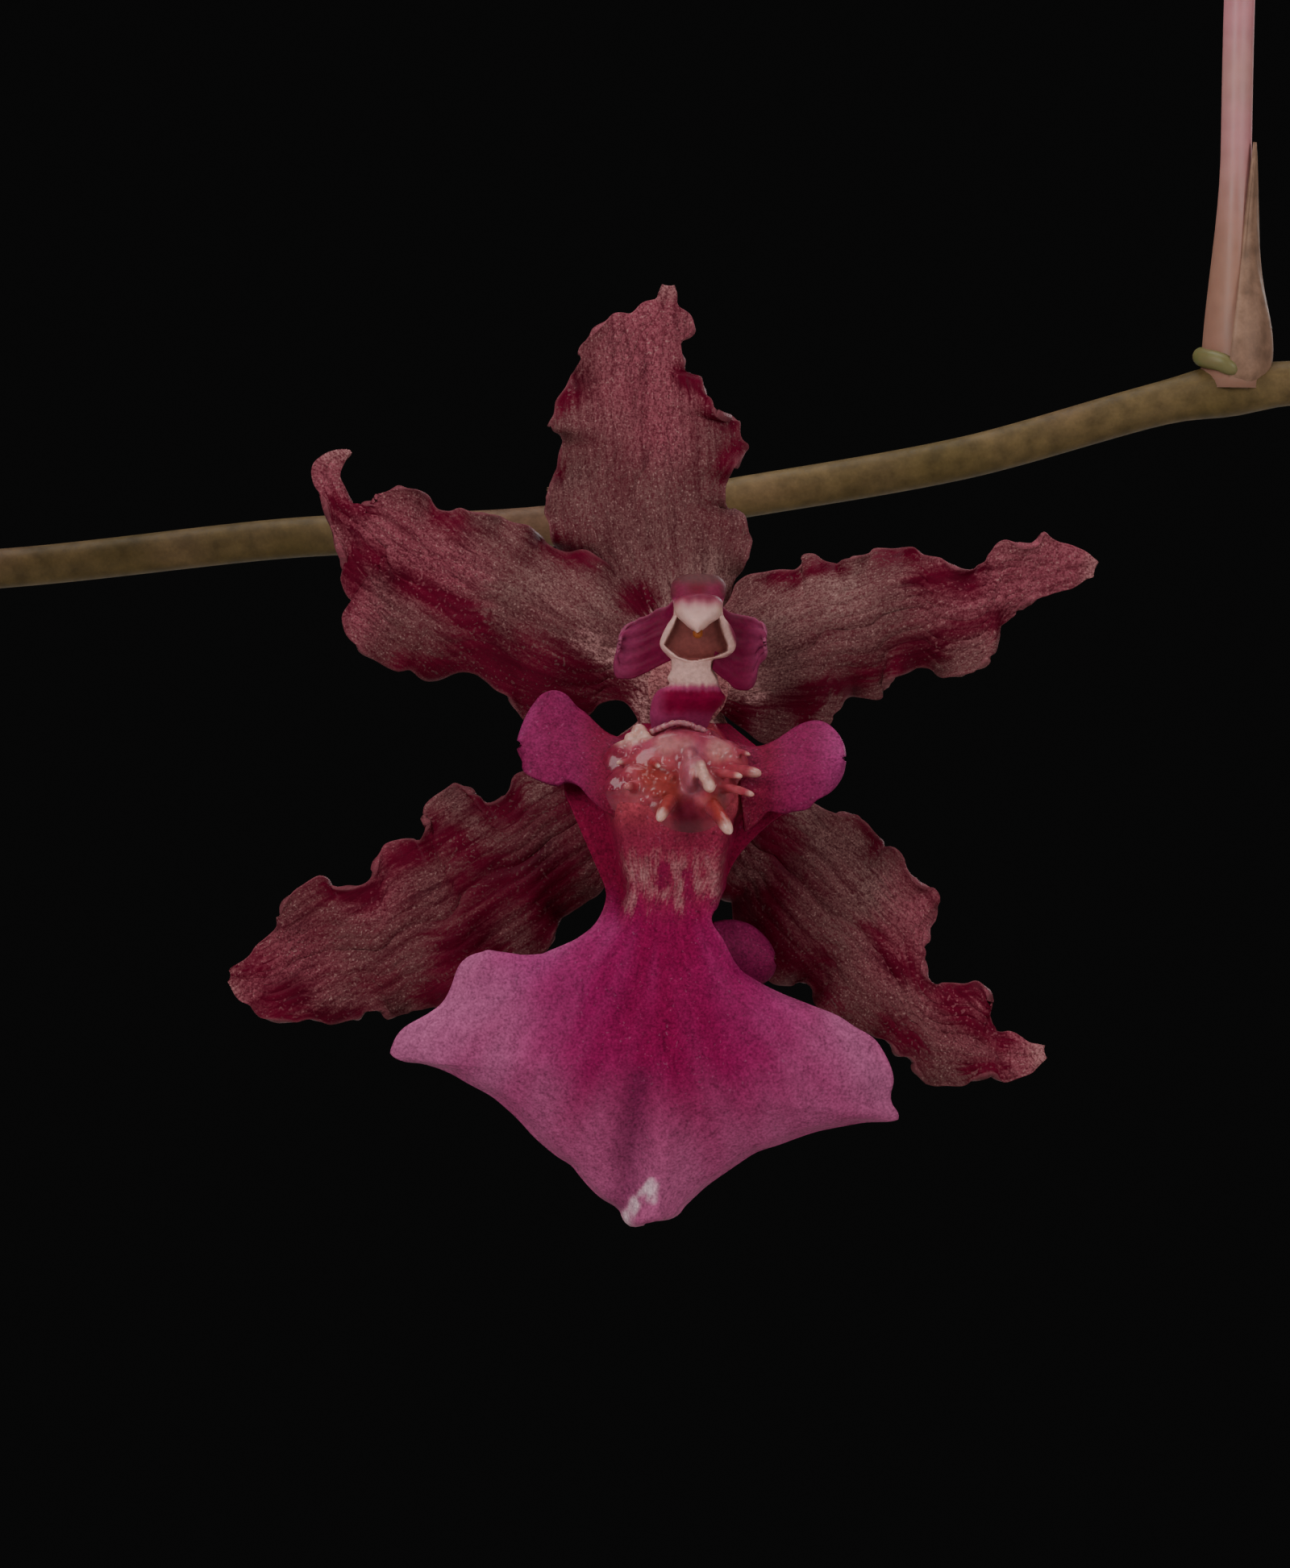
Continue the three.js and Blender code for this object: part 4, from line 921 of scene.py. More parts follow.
def make_stem(name, points, radius_at, steps):
    """A stem with the pedicels, buds and bracts that grow on it."""
    line = Line(points)
    springs = [flower["from"] for flower in FLOWERS if flower["stem"] == name]
    springs += [bud[1] for bud in BUDS if bud[0] == name]
    shares = [nearest_share(line, spring) for spring in springs]
    swell = node_swell([share * line.length for share in shares])
    bm = new_mesh()
    tube(bm, line, STEM_SIDES, steps, lambda t, angle: radius_at(t) + swell(t * line.length), stem_paint)
    piece(f"{name}_skin", bm, STEM_SKIN, [name])

    pedicels, buds, bracts = new_mesh(), new_mesh(), new_mesh()
    for flower in FLOWERS:
        if flower["stem"] == name:
            add_pedicel(pedicels, pedicel_line(flower))
    for stem, foot, head, size in BUDS:
        if stem == name:
            add_bud(buds, pedicels, foot, head, size)
    # The second flower's pedicel has its long bract instead of a short one.
    for share in shares:
        if name == "branch_1" and share == nearest_share(line, FLOWERS[1]["from"]):
            continue
        start = min(share, 0.97)
        add_bract(
            bracts, line, start - 0.4 / line.length, min(3.4 / line.length, 1 - start), 1.3,
            lambda t: radius_at(start) + 0.35 + 0.3 * t, (0, 0, 1), PAPER, 10,
        )
    piece(f"{name}_pedicels", pedicels, PEDICEL_SKIN, [name])
    piece(f"{name}_buds", buds, STEM_SKIN, [name])
    piece(f"{name}_bracts", bracts, STEM_SKIN, [name], thickness=0.12)


def make_stems():
    def main_radius(t):
        return STEM_RADIUS - (STEM_RADIUS - 0.8) * t ** 0.9

    make_stem("flower_stem", MAIN_STEM, main_radius, MAIN_STEM_RINGS)
    for name, points in BRANCHES.items():
        make_stem(name, points, lambda t: BRANCH_RADIUS - BRANCH_TAPER * t, BRANCH_RINGS)
    line = Line(MAIN_STEM)
    bm = new_mesh()
    for number, share in enumerate(SHEATHS):
        heading = (1 if number % 2 else -1, -0.7, 0)
        add_bract(
            bm, line, share, SHEATH_LENGTH, 2.6, lambda t: main_radius(share) + 0.35 + 0.5 * t,
            heading, SHEATH_TAN,
        )
    piece("stem_sheaths", bm, STEM_SKIN, ["flower_stem"], thickness=0.2)


def make_long_bract():
    """The long bract and the green collar on the pedicel at the right edge of the view."""
    def belly(t):
        return 0.86 + 0.66 * math.exp(-((t - 0.16) / 0.26) ** 2) - 0.25 * smooth(t, 0.08, 0.0)

    rising = pedicel_line(FLOWERS[1])
    bm = new_mesh()
    add_bract(bm, rising, 0.0, LONG_BRACT, 1.15, belly, (1, -0.75, 0), LONG_BRACT_TAN, 48)
    piece("long_bract", bm, STEM_SKIN, ["branch_1"], thickness=0.14)
    bm = new_mesh()
    tube(
        bm, Line(COLLAR), 20, 36, rod(0.38, 6),
        lambda t, angle, spot: (mixed(COLLAR_GREEN, COLLAR_TAN, 0.4 + rough(*(spot * 1.5))),),
    )
    piece("green_collar", bm, PEDICEL_SKIN, ["branch_1"])


# Flowers. In a flower's own space +X is the viewer's right, +Z is up and -Y is towards the viewer, and its
# middle is where the column meets the lip. An organ has two edges, each a line of x and z from its base to
# its tip, drawn in the plane of the flower's middle as an eye at EYE sees them.

EYE = Vector((-1.5, -243.0, -2.775))


def seen(x, depth, z, mirror=1):
    """The place at that depth that the eye sees at x and z of the middle plane."""
    share = 1 - depth / EYE.y
    return Vector((mirror * (EYE.x + (x - EYE.x) * share), depth, EYE.z + (z - EYE.z) * share))


def drawn(spot, mirror):
    """The x and z of the middle plane where the eye sees a place."""
    share = 1 - spot.y / EYE.y
    return Vector((EYE.x + (mirror * spot.x - EYE.x) / share, 0, EYE.z + (spot.z - EYE.z) / share))


def between(one_edge, other_edge, walk=Line.even):
    """A point between two edges, at t along and s across, as x and z."""
    edges = [Line([(x, 0, z) for x, z in edge]) for edge in (one_edge, other_edge)]

    @functools.cache
    def ends(t):
        return [walk(edge, t) for edge in edges]

    def point(t, s):
        first, second = ends(t)
        return first.lerp(second, (s + 1) / 2)

    return point


def spanned(spans):
    """The same for an organ that is drawn as spans across it: x and z of one edge, then of the other."""
    return between([span[:2] for span in spans], [span[2:] for span in spans], Line.at)


TEPAL_THICKNESS = 0.32
LIP_THICKNESS = 0.3
WING_THICKNESS = 0.14
# How many faces a part of a flower has across and along, in the shown flower and in the others.
FINE_GRIDS = {
    "tepal": (80, 180), "lip": (150, 220), "ear": (44, 50), "column": (120, 120), "wing": (34, 34),
    "cap": (48, 48),
}
COARSE_GRIDS = {
    "tepal": (18, 56), "lip": (26, 60), "ear": (10, 12), "column": (16, 14), "wing": (6, 6), "cap": (12, 8),
}

CRIMSON = (0.105, 0.0024, 0.016)
DARK_CRIMSON = (0.062, 0.0015, 0.0095)
# The frost colours stand partly for the frost's own pale tan and partly for painted sheen on it.
TAN_FROST_SHEEN = (0.128, 0.051, 0.051)
PALE_FROST_SHEEN = (0.208, 0.109, 0.1)
FROST_WHITE_SHEEN = (0.52, 0.26, 0.25)
ROSE = (0.265, 0.063, 0.087)
PINK_RIM = (0.2, 0.06, 0.072)
WARM_WHITE = (0.66, 0.385, 0.345)
DEEP_MAGENTA = (0.2, 0.002, 0.047)
MAGENTA = (0.25, 0.009, 0.084)
PINK = (0.3, 0.037, 0.142)
PALE_PINK = (0.365, 0.094, 0.2)
LIP_CRIMSON = (0.2, 0.005, 0.035)
LIP_LIGHT = (0.4, 0.07, 0.18)
LIP_FOLD_SHADE = (0.13, 0.012, 0.055)
LIP_TIP_WHITE = (0.62, 0.4, 0.46)
WAIST_CRIMSON = (0.2, 0.014, 0.04)
WAIST_ROSE = (0.34, 0.045, 0.065)
WINDOW_CRIMSON = (0.16, 0.004, 0.035)
WAIST_FROST = (0.19, 0.05, 0.06)
WAIST_PALE_FROST = (0.29, 0.12, 0.125)
EAR_CRIMSON = (0.165, 0.008, 0.03)
EAR_MAGENTA = (0.185, 0.011, 0.06)
ROLLED_PINK = (0.24, 0.014, 0.08)
ROLLED_DARK = (0.16, 0.008, 0.05)
HUB_FROST = (0.42, 0.16, 0.16)

# The five tepals. rest is how far back the base lies, rise how far the tip bends back, arch how far the
# edges do, and ruffle the height of the waves along them. The number after waves says how much crimson
# shows through the frost, where it is partly thinner and partly dimmed as painted shade, most on the lower
# sepals. The frost's pale colour is partly painted sheen: crimson strokes are bare of it, partly as painted
# shade where the tepal turns from the light, and frosted ones lie over them. Pale strokes are lighter, white
# ones whiter, partly as painted glints, and rose ones pinker.
TEPALS = [
    {
        "name": "dorsal_sepal", "waves": 5, "thin": 0.0,
        "rest": 1.2, "rise": 1.4, "arch": 0.7, "ruffle": 0.45,
        "shape": between(
            [
                (-0.7, 1.3), (-1.8, 3.3), (-3.0, 4.6), (-4.3, 5.7), (-4.9, 6.3), (-5.1, 6.8), (-5.2, 7.8),
                (-4.95, 8.5), (-4.75, 8.9), (-4.65, 9.5), (-4.5, 10.0), (-4.6, 10.35), (-5.05, 10.6),
                (-4.9, 10.85), (-4.75, 11.6), (-4.45, 11.95), (-4.25, 12.2), (-3.95, 12.8), (-3.85, 13.1),
                (-4.0, 13.25), (-3.65, 13.8), (-3.4, 14.1), (-2.75, 14.6), (-2.1, 14.65), (-1.6, 15.0),
                (-1.1, 15.15), (-0.95, 15.45), (-0.78, 15.74),
            ],
            [
                (1.0, 1.3), (1.6, 3.4), (1.8, 4.9), (2.2, 5.4), (2.4, 6.1), (2.35, 6.5), (2.15, 7.1),
                (1.9, 7.3), (1.6, 7.6), (1.5, 8.0), (1.5, 8.4), (1.6, 8.75), (2.0, 9.2), (2.25, 9.85),
                (2.05, 10.1), (1.95, 10.7), (1.4, 10.9), (1.15, 11.1), (0.8, 11.8), (0.6, 12.2),
                (0.1, 12.4), (-0.05, 13.0), (-0.15, 13.65), (0.1, 13.85), (0.35, 14.2), (0.2, 14.5),
                (-0.3, 15.0), (-0.38, 15.45), (-0.5, 15.72),
            ],
        ),
        "crimson": [
            (-0.1, 12.5, 0.8, 11.5, 0.3), (0.9, 11.5, 1.9, 10.3, 0.5), (1.9, 10.2, 1.7, 9.0, 0.45),
            (-4.0, 12.2, -4.6, 11.2, 0.3), (-4.8, 6.2, -3.8, 5.5, 0.3), (-1.8, 4.3, -1.5, 3.8, 0.35),
            (-4.9, 9.4, -4.7, 8.6, 0.15),
        ],
        "frosted": [],
        "rose": [(-1.4, 14.6, -1.3, 12.0, 1.9), (-1.1, 12.6, -1.0, 10.4, 0.9)],
        "pale": [(-0.6, 4.2, 1.0, 5.0, 0.9)],
    },
    {
        "name": "left_petal", "waves": 4, "thin": 0.1,
        "rest": 0.6, "rise": 1.2, "arch": 1.2, "ruffle": 0.5,
        "shape": between(
            [
                (-0.4, 2.4), (-1.8, 4.4), (-3.0, 5.4), (-3.7, 5.85), (-4.3, 5.75), (-4.9, 6.0), (-5.4, 6.3),
                (-5.9, 6.75), (-6.3, 6.85), (-7.0, 7.15), (-7.5, 7.3), (-8.2, 7.4), (-8.7, 7.3),
                (-9.2, 7.35), (-9.4, 7.6), (-9.7, 7.95), (-10.3, 8.25), (-10.7, 8.3), (-11.1, 8.1),
                (-11.35, 8.0), (-11.45, 7.7), (-11.9, 7.65), (-12.3, 7.55), (-12.55, 7.75), (-12.75, 8.2),
                (-12.85, 8.7), (-12.75, 9.1), (-12.45, 9.6),
            ],
            [
                (-0.9, -0.5), (-1.45, -0.85), (-1.75, -0.2), (-2.1, 0.2), (-2.6, 0.38), (-3.2, 0.25),
                (-3.6, -0.1), (-4.6, -0.4), (-5.9, -0.3), (-6.4, 0.2), (-6.6, 0.5), (-7.0, 0.75),
                (-7.4, 1.1), (-7.8, 1.35), (-8.3, 1.45), (-9.3, 1.2), (-9.9, 1.25), (-10.35, 1.5),
                (-10.7, 1.45), (-11.2, 1.7), (-11.7, 1.95), (-12.0, 2.2), (-12.35, 2.6), (-12.55, 3.0),
                (-12.65, 3.4), (-12.45, 3.7), (-12.2, 3.8), (-12.5, 4.2), (-12.75, 4.9), (-12.7, 5.5),
                (-12.9, 6.0), (-13.2, 6.8), (-13.4, 7.6), (-13.65, 8.2), (-13.8, 8.9), (-13.7, 9.2),
                (-13.4, 9.4), (-13.0, 9.5),
            ],
        ),
        "crimson": [
            (-13.1, 7.5, -11.9, 7.4, 0.3), (-12.7, 7.1, -12.2, 6.3, 0.45), (-12.2, 6.5, -12.3, 4.3, 0.28),
            (-12.0, 6.0, -10.6, 5.0, 0.25), (-10.8, 5.1, -8.4, 3.7, 0.35), (-10.2, 1.6, -7.5, 1.5, 0.4),
            (-9.0, 3.9, -7.0, 2.6, 0.4), (-7.0, 2.6, -5.0, 1.8, 0.45), (-5.0, 1.8, -3.0, 0.9, 0.55),
            (-3.0, 0.9, -1.9, 0.2, 0.6), (-8.0, 2.4, -5.0, 0.8, 0.8), (-7.6, 1.8, -6.4, 0.9, 0.7),
            (-5.6, 0.6, -3.8, 0.2, 0.8), (-9.2, 7.0, -8.5, 6.8, 0.35), (-1.9, 3.8, -1.6, 4.3, 0.35),
            (-5.4, 6.2, -3.7, 5.75, 0.25),
        ],
        "frosted": [],
        "rose": [
            (-12.0, 7.0, -9.0, 5.0, 1.0), (-13.4, 8.6, -13.0, 7.8, 0.5), (-12.4, 5.6, -12.4, 3.6, 0.6),
        ],
        "pale": [(-3.4, 2.1, -1.6, 1.5, 0.55), (-6.0, 4.6, -3.4, 4.0, 0.8)],
        "white": [(-3.8, 2.5, -1.9, 1.5, 0.45), (-1.75, 1.5, -1.35, -0.7, 0.25)],
    },
    {
        "name": "right_petal", "waves": 5, "thin": 0.06,
        "rest": 0.6, "rise": 1.4, "arch": 1.1, "ruffle": 0.5,
        "shape": between(
            [
                (0.6, 2.2), (1.4, 3.5), (1.8, 4.3), (2.1, 4.7), (2.6, 5.0), (3.5, 5.15), (4.0, 5.2),
                (4.3, 5.4), (4.45, 5.65), (4.8, 5.7), (5.0, 5.5), (5.3, 5.35), (5.7, 5.35), (5.95, 5.6),
                (6.7, 5.75), (7.1, 5.9), (8.1, 5.9), (8.6, 5.95), (8.9, 5.7), (9.6, 5.5), (10.0, 5.3),
                (10.5, 5.2), (11.0, 5.3), (11.3, 5.5), (11.4, 5.8), (11.7, 6.1), (12.1, 6.25), (12.6, 6.1),
                (13.0, 6.15), (13.35, 6.6), (13.6, 6.4), (13.9, 6.15), (14.4, 6.0), (14.9, 5.85),
                (15.3, 5.45),
            ],
            [
                (0.9, 0.2), (1.4, -0.1), (1.9, -0.5), (2.5, -1.0), (3.2, -1.2), (4.5, -1.1), (5.3, -0.6),
                (5.5, -0.2), (5.65, 0.1), (5.8, 0.4), (6.2, 0.6), (6.7, 0.5), (7.2, 0.45), (7.4, 0.7),
                (7.5, 1.0), (7.8, 1.25), (8.2, 1.5), (8.6, 1.65), (9.0, 1.65), (9.3, 1.45), (9.6, 1.25),
                (10.0, 1.2), (10.9, 1.5), (11.2, 1.75), (11.4, 2.1), (11.5, 2.5), (11.6, 2.9), (11.8, 3.2),
                (12.0, 3.45), (12.3, 3.6), (12.6, 3.9), (13.3, 4.2), (14.2, 4.5), (14.6, 4.75), (15.1, 5.0),
            ],
        ),
        "crimson": [
            (1.5, 0.1, 4.3, 0.0, 0.6), (4.0, -0.4, 5.2, 0.5, 0.8), (5.0, 0.7, 7.8, 1.6, 0.55),
            (7.8, 1.9, 9.6, 2.4, 0.4), (9.4, 2.7, 11.5, 3.2, 0.3), (8.9, 4.9, 10.7, 4.9, 0.45),
            (3.3, 5.0, 3.9, 5.0, 0.2), (5.1, 5.2, 5.7, 5.2, 0.2), (7.5, 5.7, 8.6, 5.7, 0.2),
            (2.2, -0.6, 3.6, -0.9, 0.5),
        ],
        "frosted": [
            (7.0, 0.6, 7.3, 0.9, 0.3), (9.8, 1.6, 11.1, 2.1, 0.4), (5.4, -0.2, 5.5, 0.2, 0.25),
            (2.9, -0.8, 3.7, -0.5, 0.35), (1.5, 0.8, 2.1, 1.0, 0.35),
        ],
        "rose": [(10.5, 4.4, 15.0, 5.4, 1.3)],
        "pale": [(1.5, 0.9, 2.2, 1.1, 0.5), (3.0, 3.6, 6.0, 4.2, 1.0)],
        "white": [(1.4, 0.9, 2.6, 0.5, 0.3)],
    },
    {
        "name": "left_sepal", "waves": 6, "thin": 0.28,
        "rest": 1.2, "rise": 1.4, "arch": 0.8, "ruffle": 0.5,
        "shape": between(
            [
                (-0.6, 0.8), (-1.8, -0.6), (-3.1, -1.5), (-4.8, -2.1), (-6.0, -2.4), (-6.3, -2.55),
                (-6.65, -3.06), (-7.0, -3.4), (-7.33, -3.52), (-7.67, -3.4), (-7.9, -3.15), (-8.1, -2.96),
                (-8.45, -2.85), (-8.8, -2.95), (-9.36, -3.25), (-9.65, -3.52), (-9.8, -3.8), (-9.67, -4.05),
                (-9.62, -4.3), (-9.67, -4.7), (-9.85, -4.9), (-10.2, -4.9), (-10.6, -4.9), (-10.95, -5.0),
                (-11.25, -5.23), (-11.47, -5.52), (-11.55, -5.8), (-11.62, -6.15), (-11.83, -6.4),
                (-12.17, -6.52), (-12.9, -6.6), (-13.23, -6.5), (-13.43, -6.32), (-13.67, -6.28),
                (-14.0, -6.44), (-14.5, -6.73), (-14.86, -7.07), (-15.07, -7.45), (-15.05, -7.95),
                (-15.2, -8.2), (-15.8, -8.7), (-16.05, -9.1), (-16.3, -9.3), (-16.67, -9.5),
                (-16.85, -9.75),
            ],
            [
                (-0.1, -1.0), (-1.3, -3.0), (-2.7, -6.1), (-3.2, -6.8), (-3.75, -7.1), (-4.33, -7.45),
                (-4.7, -7.8), (-4.9, -8.3), (-5.05, -8.7), (-5.6, -9.2), (-7.2, -10.3), (-8.4, -10.9),
                (-9.3, -11.0), (-9.75, -11.1), (-10.1, -11.1), (-10.4, -11.25), (-10.95, -11.5),
                (-11.2, -11.3), (-11.5, -11.25), (-11.9, -11.25), (-12.1, -11.5), (-12.55, -11.57),
                (-13.5, -11.65), (-14.05, -11.53), (-14.5, -11.6), (-15.3, -11.6), (-15.65, -11.53),
                (-15.9, -11.28), (-16.15, -11.0), (-16.5, -10.85), (-16.72, -10.5), (-16.9, -10.1),
            ],
        ),
        "crimson": [
            (-7.8, -4.0, -5.0, -3.5, 0.5), (-7.3, -3.8, -6.4, -3.2, 0.5), (-5.4, -3.8, -3.9, -3.0, 0.6),
            (-10.6, -5.6, -9.5, -5.2, 0.35), (-8.8, -9.4, -7.8, -8.6, 0.6), (-8.0, -8.2, -6.0, -6.8, 0.95),
            (-6.0, -6.6, -4.2, -5.9, 0.8), (-9.4, -10.6, -8.4, -10.3, 0.4), (-7.6, -9.6, -5.4, -8.4, 1.1),
            (-5.2, -7.6, -4.0, -6.8, 0.6), (-8.0, -6.4, -5.6, -5.9, 0.5), (-16.5, -9.7, -16.0, -9.6, 0.35),
            (-15.4, -10.8, -14.5, -10.8, 0.35), (-13.2, -6.8, -11.6, -7.0, 0.2),
            # The last two strokes paint the shade of a valley across the sepal.
            (-15.8, -11.5, -12.0, -11.5, 0.15), (-9.1, -3.9, -9.3, -5.2, 0.2),
            (-9.0, -4.6, -7.6, -5.6, 0.35),
        ],
        "frosted": [
            (-6.4, -7.9, -6.0, -8.8, 0.55), (-5.7, -2.95, -4.9, -3.1, 0.32), (-3.7, -6.9, -3.4, -6.7, 0.25),
            (-9.0, -3.2, -8.3, -4.0, 0.45), (-3.9, -5.2, -3.5, -6.2, 0.2),
        ],
        "rose": [(-14.8, -9.6, -16.6, -10.2, 1.1), (-11.4, -5.6, -11.7, -6.8, 0.5)],
        "pale": [
            (-9.0, -3.2, -8.2, -4.6, 0.6), (-5.7, -2.95, -4.9, -3.1, 0.4), (-7.5, -4.8, -9.5, -5.2, 0.5),
        ],
    },
    {
        "name": "right_sepal", "waves": 6, "thin": 0.14,
        "rest": 1.2, "rise": 1.4, "arch": 0.8, "ruffle": 0.5,
        "shape": between(
            [
                (0.8, 0.8), (1.7, -1.0), (2.5, -2.4), (3.8, -3.3), (4.65, -3.6), (4.96, -3.73),
                (5.33, -3.84), (6.05, -3.9), (6.28, -3.95), (6.5, -4.14), (6.7, -4.25), (6.87, -4.5),
                (7.1, -4.77), (7.3, -4.95), (7.46, -5.2), (7.74, -5.21), (7.92, -5.35), (8.05, -5.6),
                (8.2, -5.9), (8.33, -6.14), (8.55, -6.38), (8.8, -6.53), (9.05, -6.55), (9.24, -6.7),
                (9.42, -6.97), (9.28, -7.2), (9.24, -7.55), (9.1, -8.1), (9.0, -8.45), (8.9, -9.0),
                (8.9, -9.55), (9.0, -9.85), (9.24, -10.18), (9.5, -10.25), (10.24, -10.23), (10.83, -10.15),
                (11.0, -10.2), (11.2, -10.36), (11.33, -10.6), (11.33, -10.8), (11.2, -11.05),
                (11.24, -11.3), (11.4, -11.65), (11.5, -11.9), (11.7, -12.0), (12.05, -12.05),
                (12.8, -12.4), (13.1, -12.5), (13.3, -12.6),
            ],
            [
                (0.2, -1.0), (0.4, -3.0), (0.7, -5.4), (1.1, -6.8), (1.4, -7.05), (1.75, -7.15),
                (1.85, -7.5), (1.9, -8.2), (2.4, -9.2), (3.1, -10.0), (3.4, -10.12), (4.05, -10.14),
                (4.6, -10.18), (4.8, -10.36), (4.85, -10.75), (4.9, -11.2), (5.8, -11.7), (6.9, -12.0),
                (7.3, -12.2), (7.7, -12.55), (7.92, -12.85), (8.24, -12.9), (8.46, -13.1), (8.5, -13.36),
                (8.7, -13.64), (8.8, -13.8), (9.1, -13.88), (9.9, -14.0), (10.2, -13.97), (10.6, -13.82),
                (11.15, -13.64), (11.45, -13.6), (11.6, -13.77), (11.8, -13.86), (12.1, -13.8),
                (12.8, -13.5), (12.96, -13.32), (13.2, -13.1), (13.35, -12.9),
            ],
        ),
        "crimson": [
            (2.0, -4.8, 1.9, -7.4, 1.1), (3.2, -4.4, 2.8, -8.0, 1.0), (2.6, -8.4, 4.6, -9.6, 0.9),
            (4.4, -9.8, 5.3, -10.6, 0.5), (6.7, -8.2, 7.8, -9.4, 0.12), (7.8, -9.4, 9.2, -10.6, 0.25),
            (9.2, -10.6, 10.4, -11.5, 0.28), (10.4, -11.5, 11.7, -12.4, 0.16),
            (9.4, -10.5, 10.8, -10.4, 0.16), (11.15, -11.0, 11.4, -11.9, 0.12),
            (7.0, -5.2, 7.5, -5.15, 0.25), (6.3, -4.1, 7.1, -4.9, 0.1), (7.3, -12.3, 8.4, -12.9, 0.4),
            (7.6, -11.7, 8.6, -12.6, 0.25), (10.5, -13.4, 11.5, -13.4, 0.2),
        ],
        "frosted": [(2.3, -5.4, 2.7, -5.6, 0.35), (1.95, -6.0, 2.9, -6.3, 0.25)],
        "rose": [(8.6, -8.8, 12.6, -12.6, 1.3), (8.6, -7.4, 8.8, -9.4, 0.7)],
        "pale": [(4.2, -4.2, 5.8, -4.8, 0.7), (5.5, -5.5, 7.5, -7.5, 0.8)],
    },
]

LIP_SHAPE = between(
    [
        (-1.6, -0.6), (-3.3, -1.6), (-4.5, -2.7), (-4.2, -3.75), (-3.86, -4.54), (-3.53, -5.32),
        (-3.2, -6.1), (-2.97, -6.7), (-2.97, -7.2), (-3.2, -7.85), (-3.47, -8.19), (-3.86, -8.45),
        (-4.38, -8.71), (-5.0, -8.97), (-5.55, -9.17), (-6.6, -9.23), (-7.1, -9.13), (-7.64, -9.07),
        (-8.03, -9.17), (-8.36, -9.43), (-8.55, -9.8), (-8.68, -10.27), (-8.88, -10.73), (-9.14, -11.06),
        (-9.6, -11.38), (-10.38, -11.9), (-10.64, -12.23), (-10.79, -12.56), (-10.85, -12.8),
        (-10.5, -12.95), (-10.0, -13.0), (-9.33, -13.18), (-8.68, -13.47), (-8.23, -13.73), (-7.25, -14.25),
        (-6.6, -14.77), (-6.08, -15.29), (-5.42, -15.95), (-4.77, -16.5), (-4.19, -16.86), (-3.86, -17.25),
        (-3.47, -17.7), (-3.08, -18.05), (-2.56, -18.36), (-2.32, -18.6), (-2.2, -18.9), (-1.97, -19.1),
        (-1.58, -19.05),
    ],
    [
        (1.6, -0.6), (3.0, -1.8), (4.0, -3.0), (3.7, -3.76), (3.05, -4.28), (2.4, -4.93), (1.88, -5.58),
        (1.49, -6.36), (1.16, -7.15), (1.0, -7.9), (1.2, -8.3), (1.4, -8.6), (1.62, -9.04), (1.88, -9.5),
        (2.14, -9.82), (2.53, -10.08), (3.05, -10.4), (3.7, -10.73), (4.35, -11.0), (5.0, -11.25),
        (5.66, -11.51), (6.31, -11.9), (6.96, -12.3), (7.42, -12.82), (7.65, -13.28), (7.74, -13.8),
        (7.65, -14.32), (7.72, -14.71), (7.88, -14.97), (7.92, -15.14), (7.65, -15.2), (7.3, -15.21),
        (6.83, -15.23), (5.92, -15.38), (5.0, -15.55), (4.09, -15.85), (3.44, -16.08), (2.66, -16.34),
        (2.0, -16.73), (1.36, -17.18), (0.7, -17.64), (0.18, -18.1), (-0.14, -18.42), (-0.34, -18.68),
        (-0.73, -18.85), (-1.1, -18.8), (-1.3, -18.7),
    ],
)
EAR_SHAPES = [
    between(
        [
            (-1.8, -1.1), (-2.43, -1.15), (-2.95, -0.95), (-3.34, -0.63), (-3.73, -0.23), (-4.12, 0.1),
            (-4.5, 0.55), (-4.9, 0.68), (-5.29, 0.55), (-5.55, 0.22), (-5.8, -0.23), (-6.0, -0.76),
            (-6.12, -1.2),
        ],
        [
            (-2.0, -4.2), (-2.7, -3.9), (-3.4, -3.4), (-3.9, -2.9), (-4.38, -2.68), (-4.7, -2.82),
            (-5.03, -2.78), (-5.49, -2.62), (-5.81, -2.45), (-5.92, -2.2), (-5.92, -1.95), (-6.05, -1.65),
            (-6.12, -1.45),
        ],
    ),
    between(
        [
            (1.9, -1.3), (2.33, -1.47), (2.79, -1.47), (3.31, -1.28), (3.83, -0.95), (4.35, -0.63),
            (4.88, -0.5), (5.27, -0.63), (5.59, -0.95), (5.79, -1.4), (5.83, -1.75),
        ],
        [
            (2.2, -4.5), (2.6, -4.2), (3.05, -3.75), (3.7, -3.82), (3.96, -3.75), (4.48, -3.69),
            (4.75, -3.43), (5.27, -3.1), (5.59, -2.71), (5.76, -2.32), (5.83, -1.95),
        ],
    ),
]
ROLLED_SHAPE = between(
    [(1.0, -8.0), (1.7, -7.9), (2.4, -8.1), (3.0, -8.7), (3.2, -9.1)],
    [(1.3, -9.6), (1.9, -10.1), (2.6, -10.2), (3.1, -9.9), (3.25, -9.5)],
)
PAINT_STEPS = 360
THROAT = (-0.9, -5.0)
LIP_AXIS = -0.7
# The painted shade of the fold down the lobe, then the white beside it and at the tip: partly a white tip and
# partly a painted highlight.
LIP_VALLEY_SHADE = [(-1.7, -13.8, -1.9, -15.4, 0.35), (-1.95, -15.4, -2.2, -17.9, 0.5)]
LIP_WHITE = [
    (-2.0, -18.9, -1.75, -18.3, 0.22), (-1.75, -18.3, -1.2, -17.5, 0.14), (-1.15, -17.6, -1.2, -18.2, 0.16),
]
LIP_WINDOWS = [(-0.82, -5.9, -0.85, -6.5, 0.26), (0.08, -6.1, 0.1, -6.9, 0.22)]


def frill(t, s, seed):
    """How far the very edge of a petal puckers in and out."""
    return abs(s) ** 6 * (0.1 * rough(9 * t, s, seed) + 0.06 * rough(26 * t, s, seed + 3))


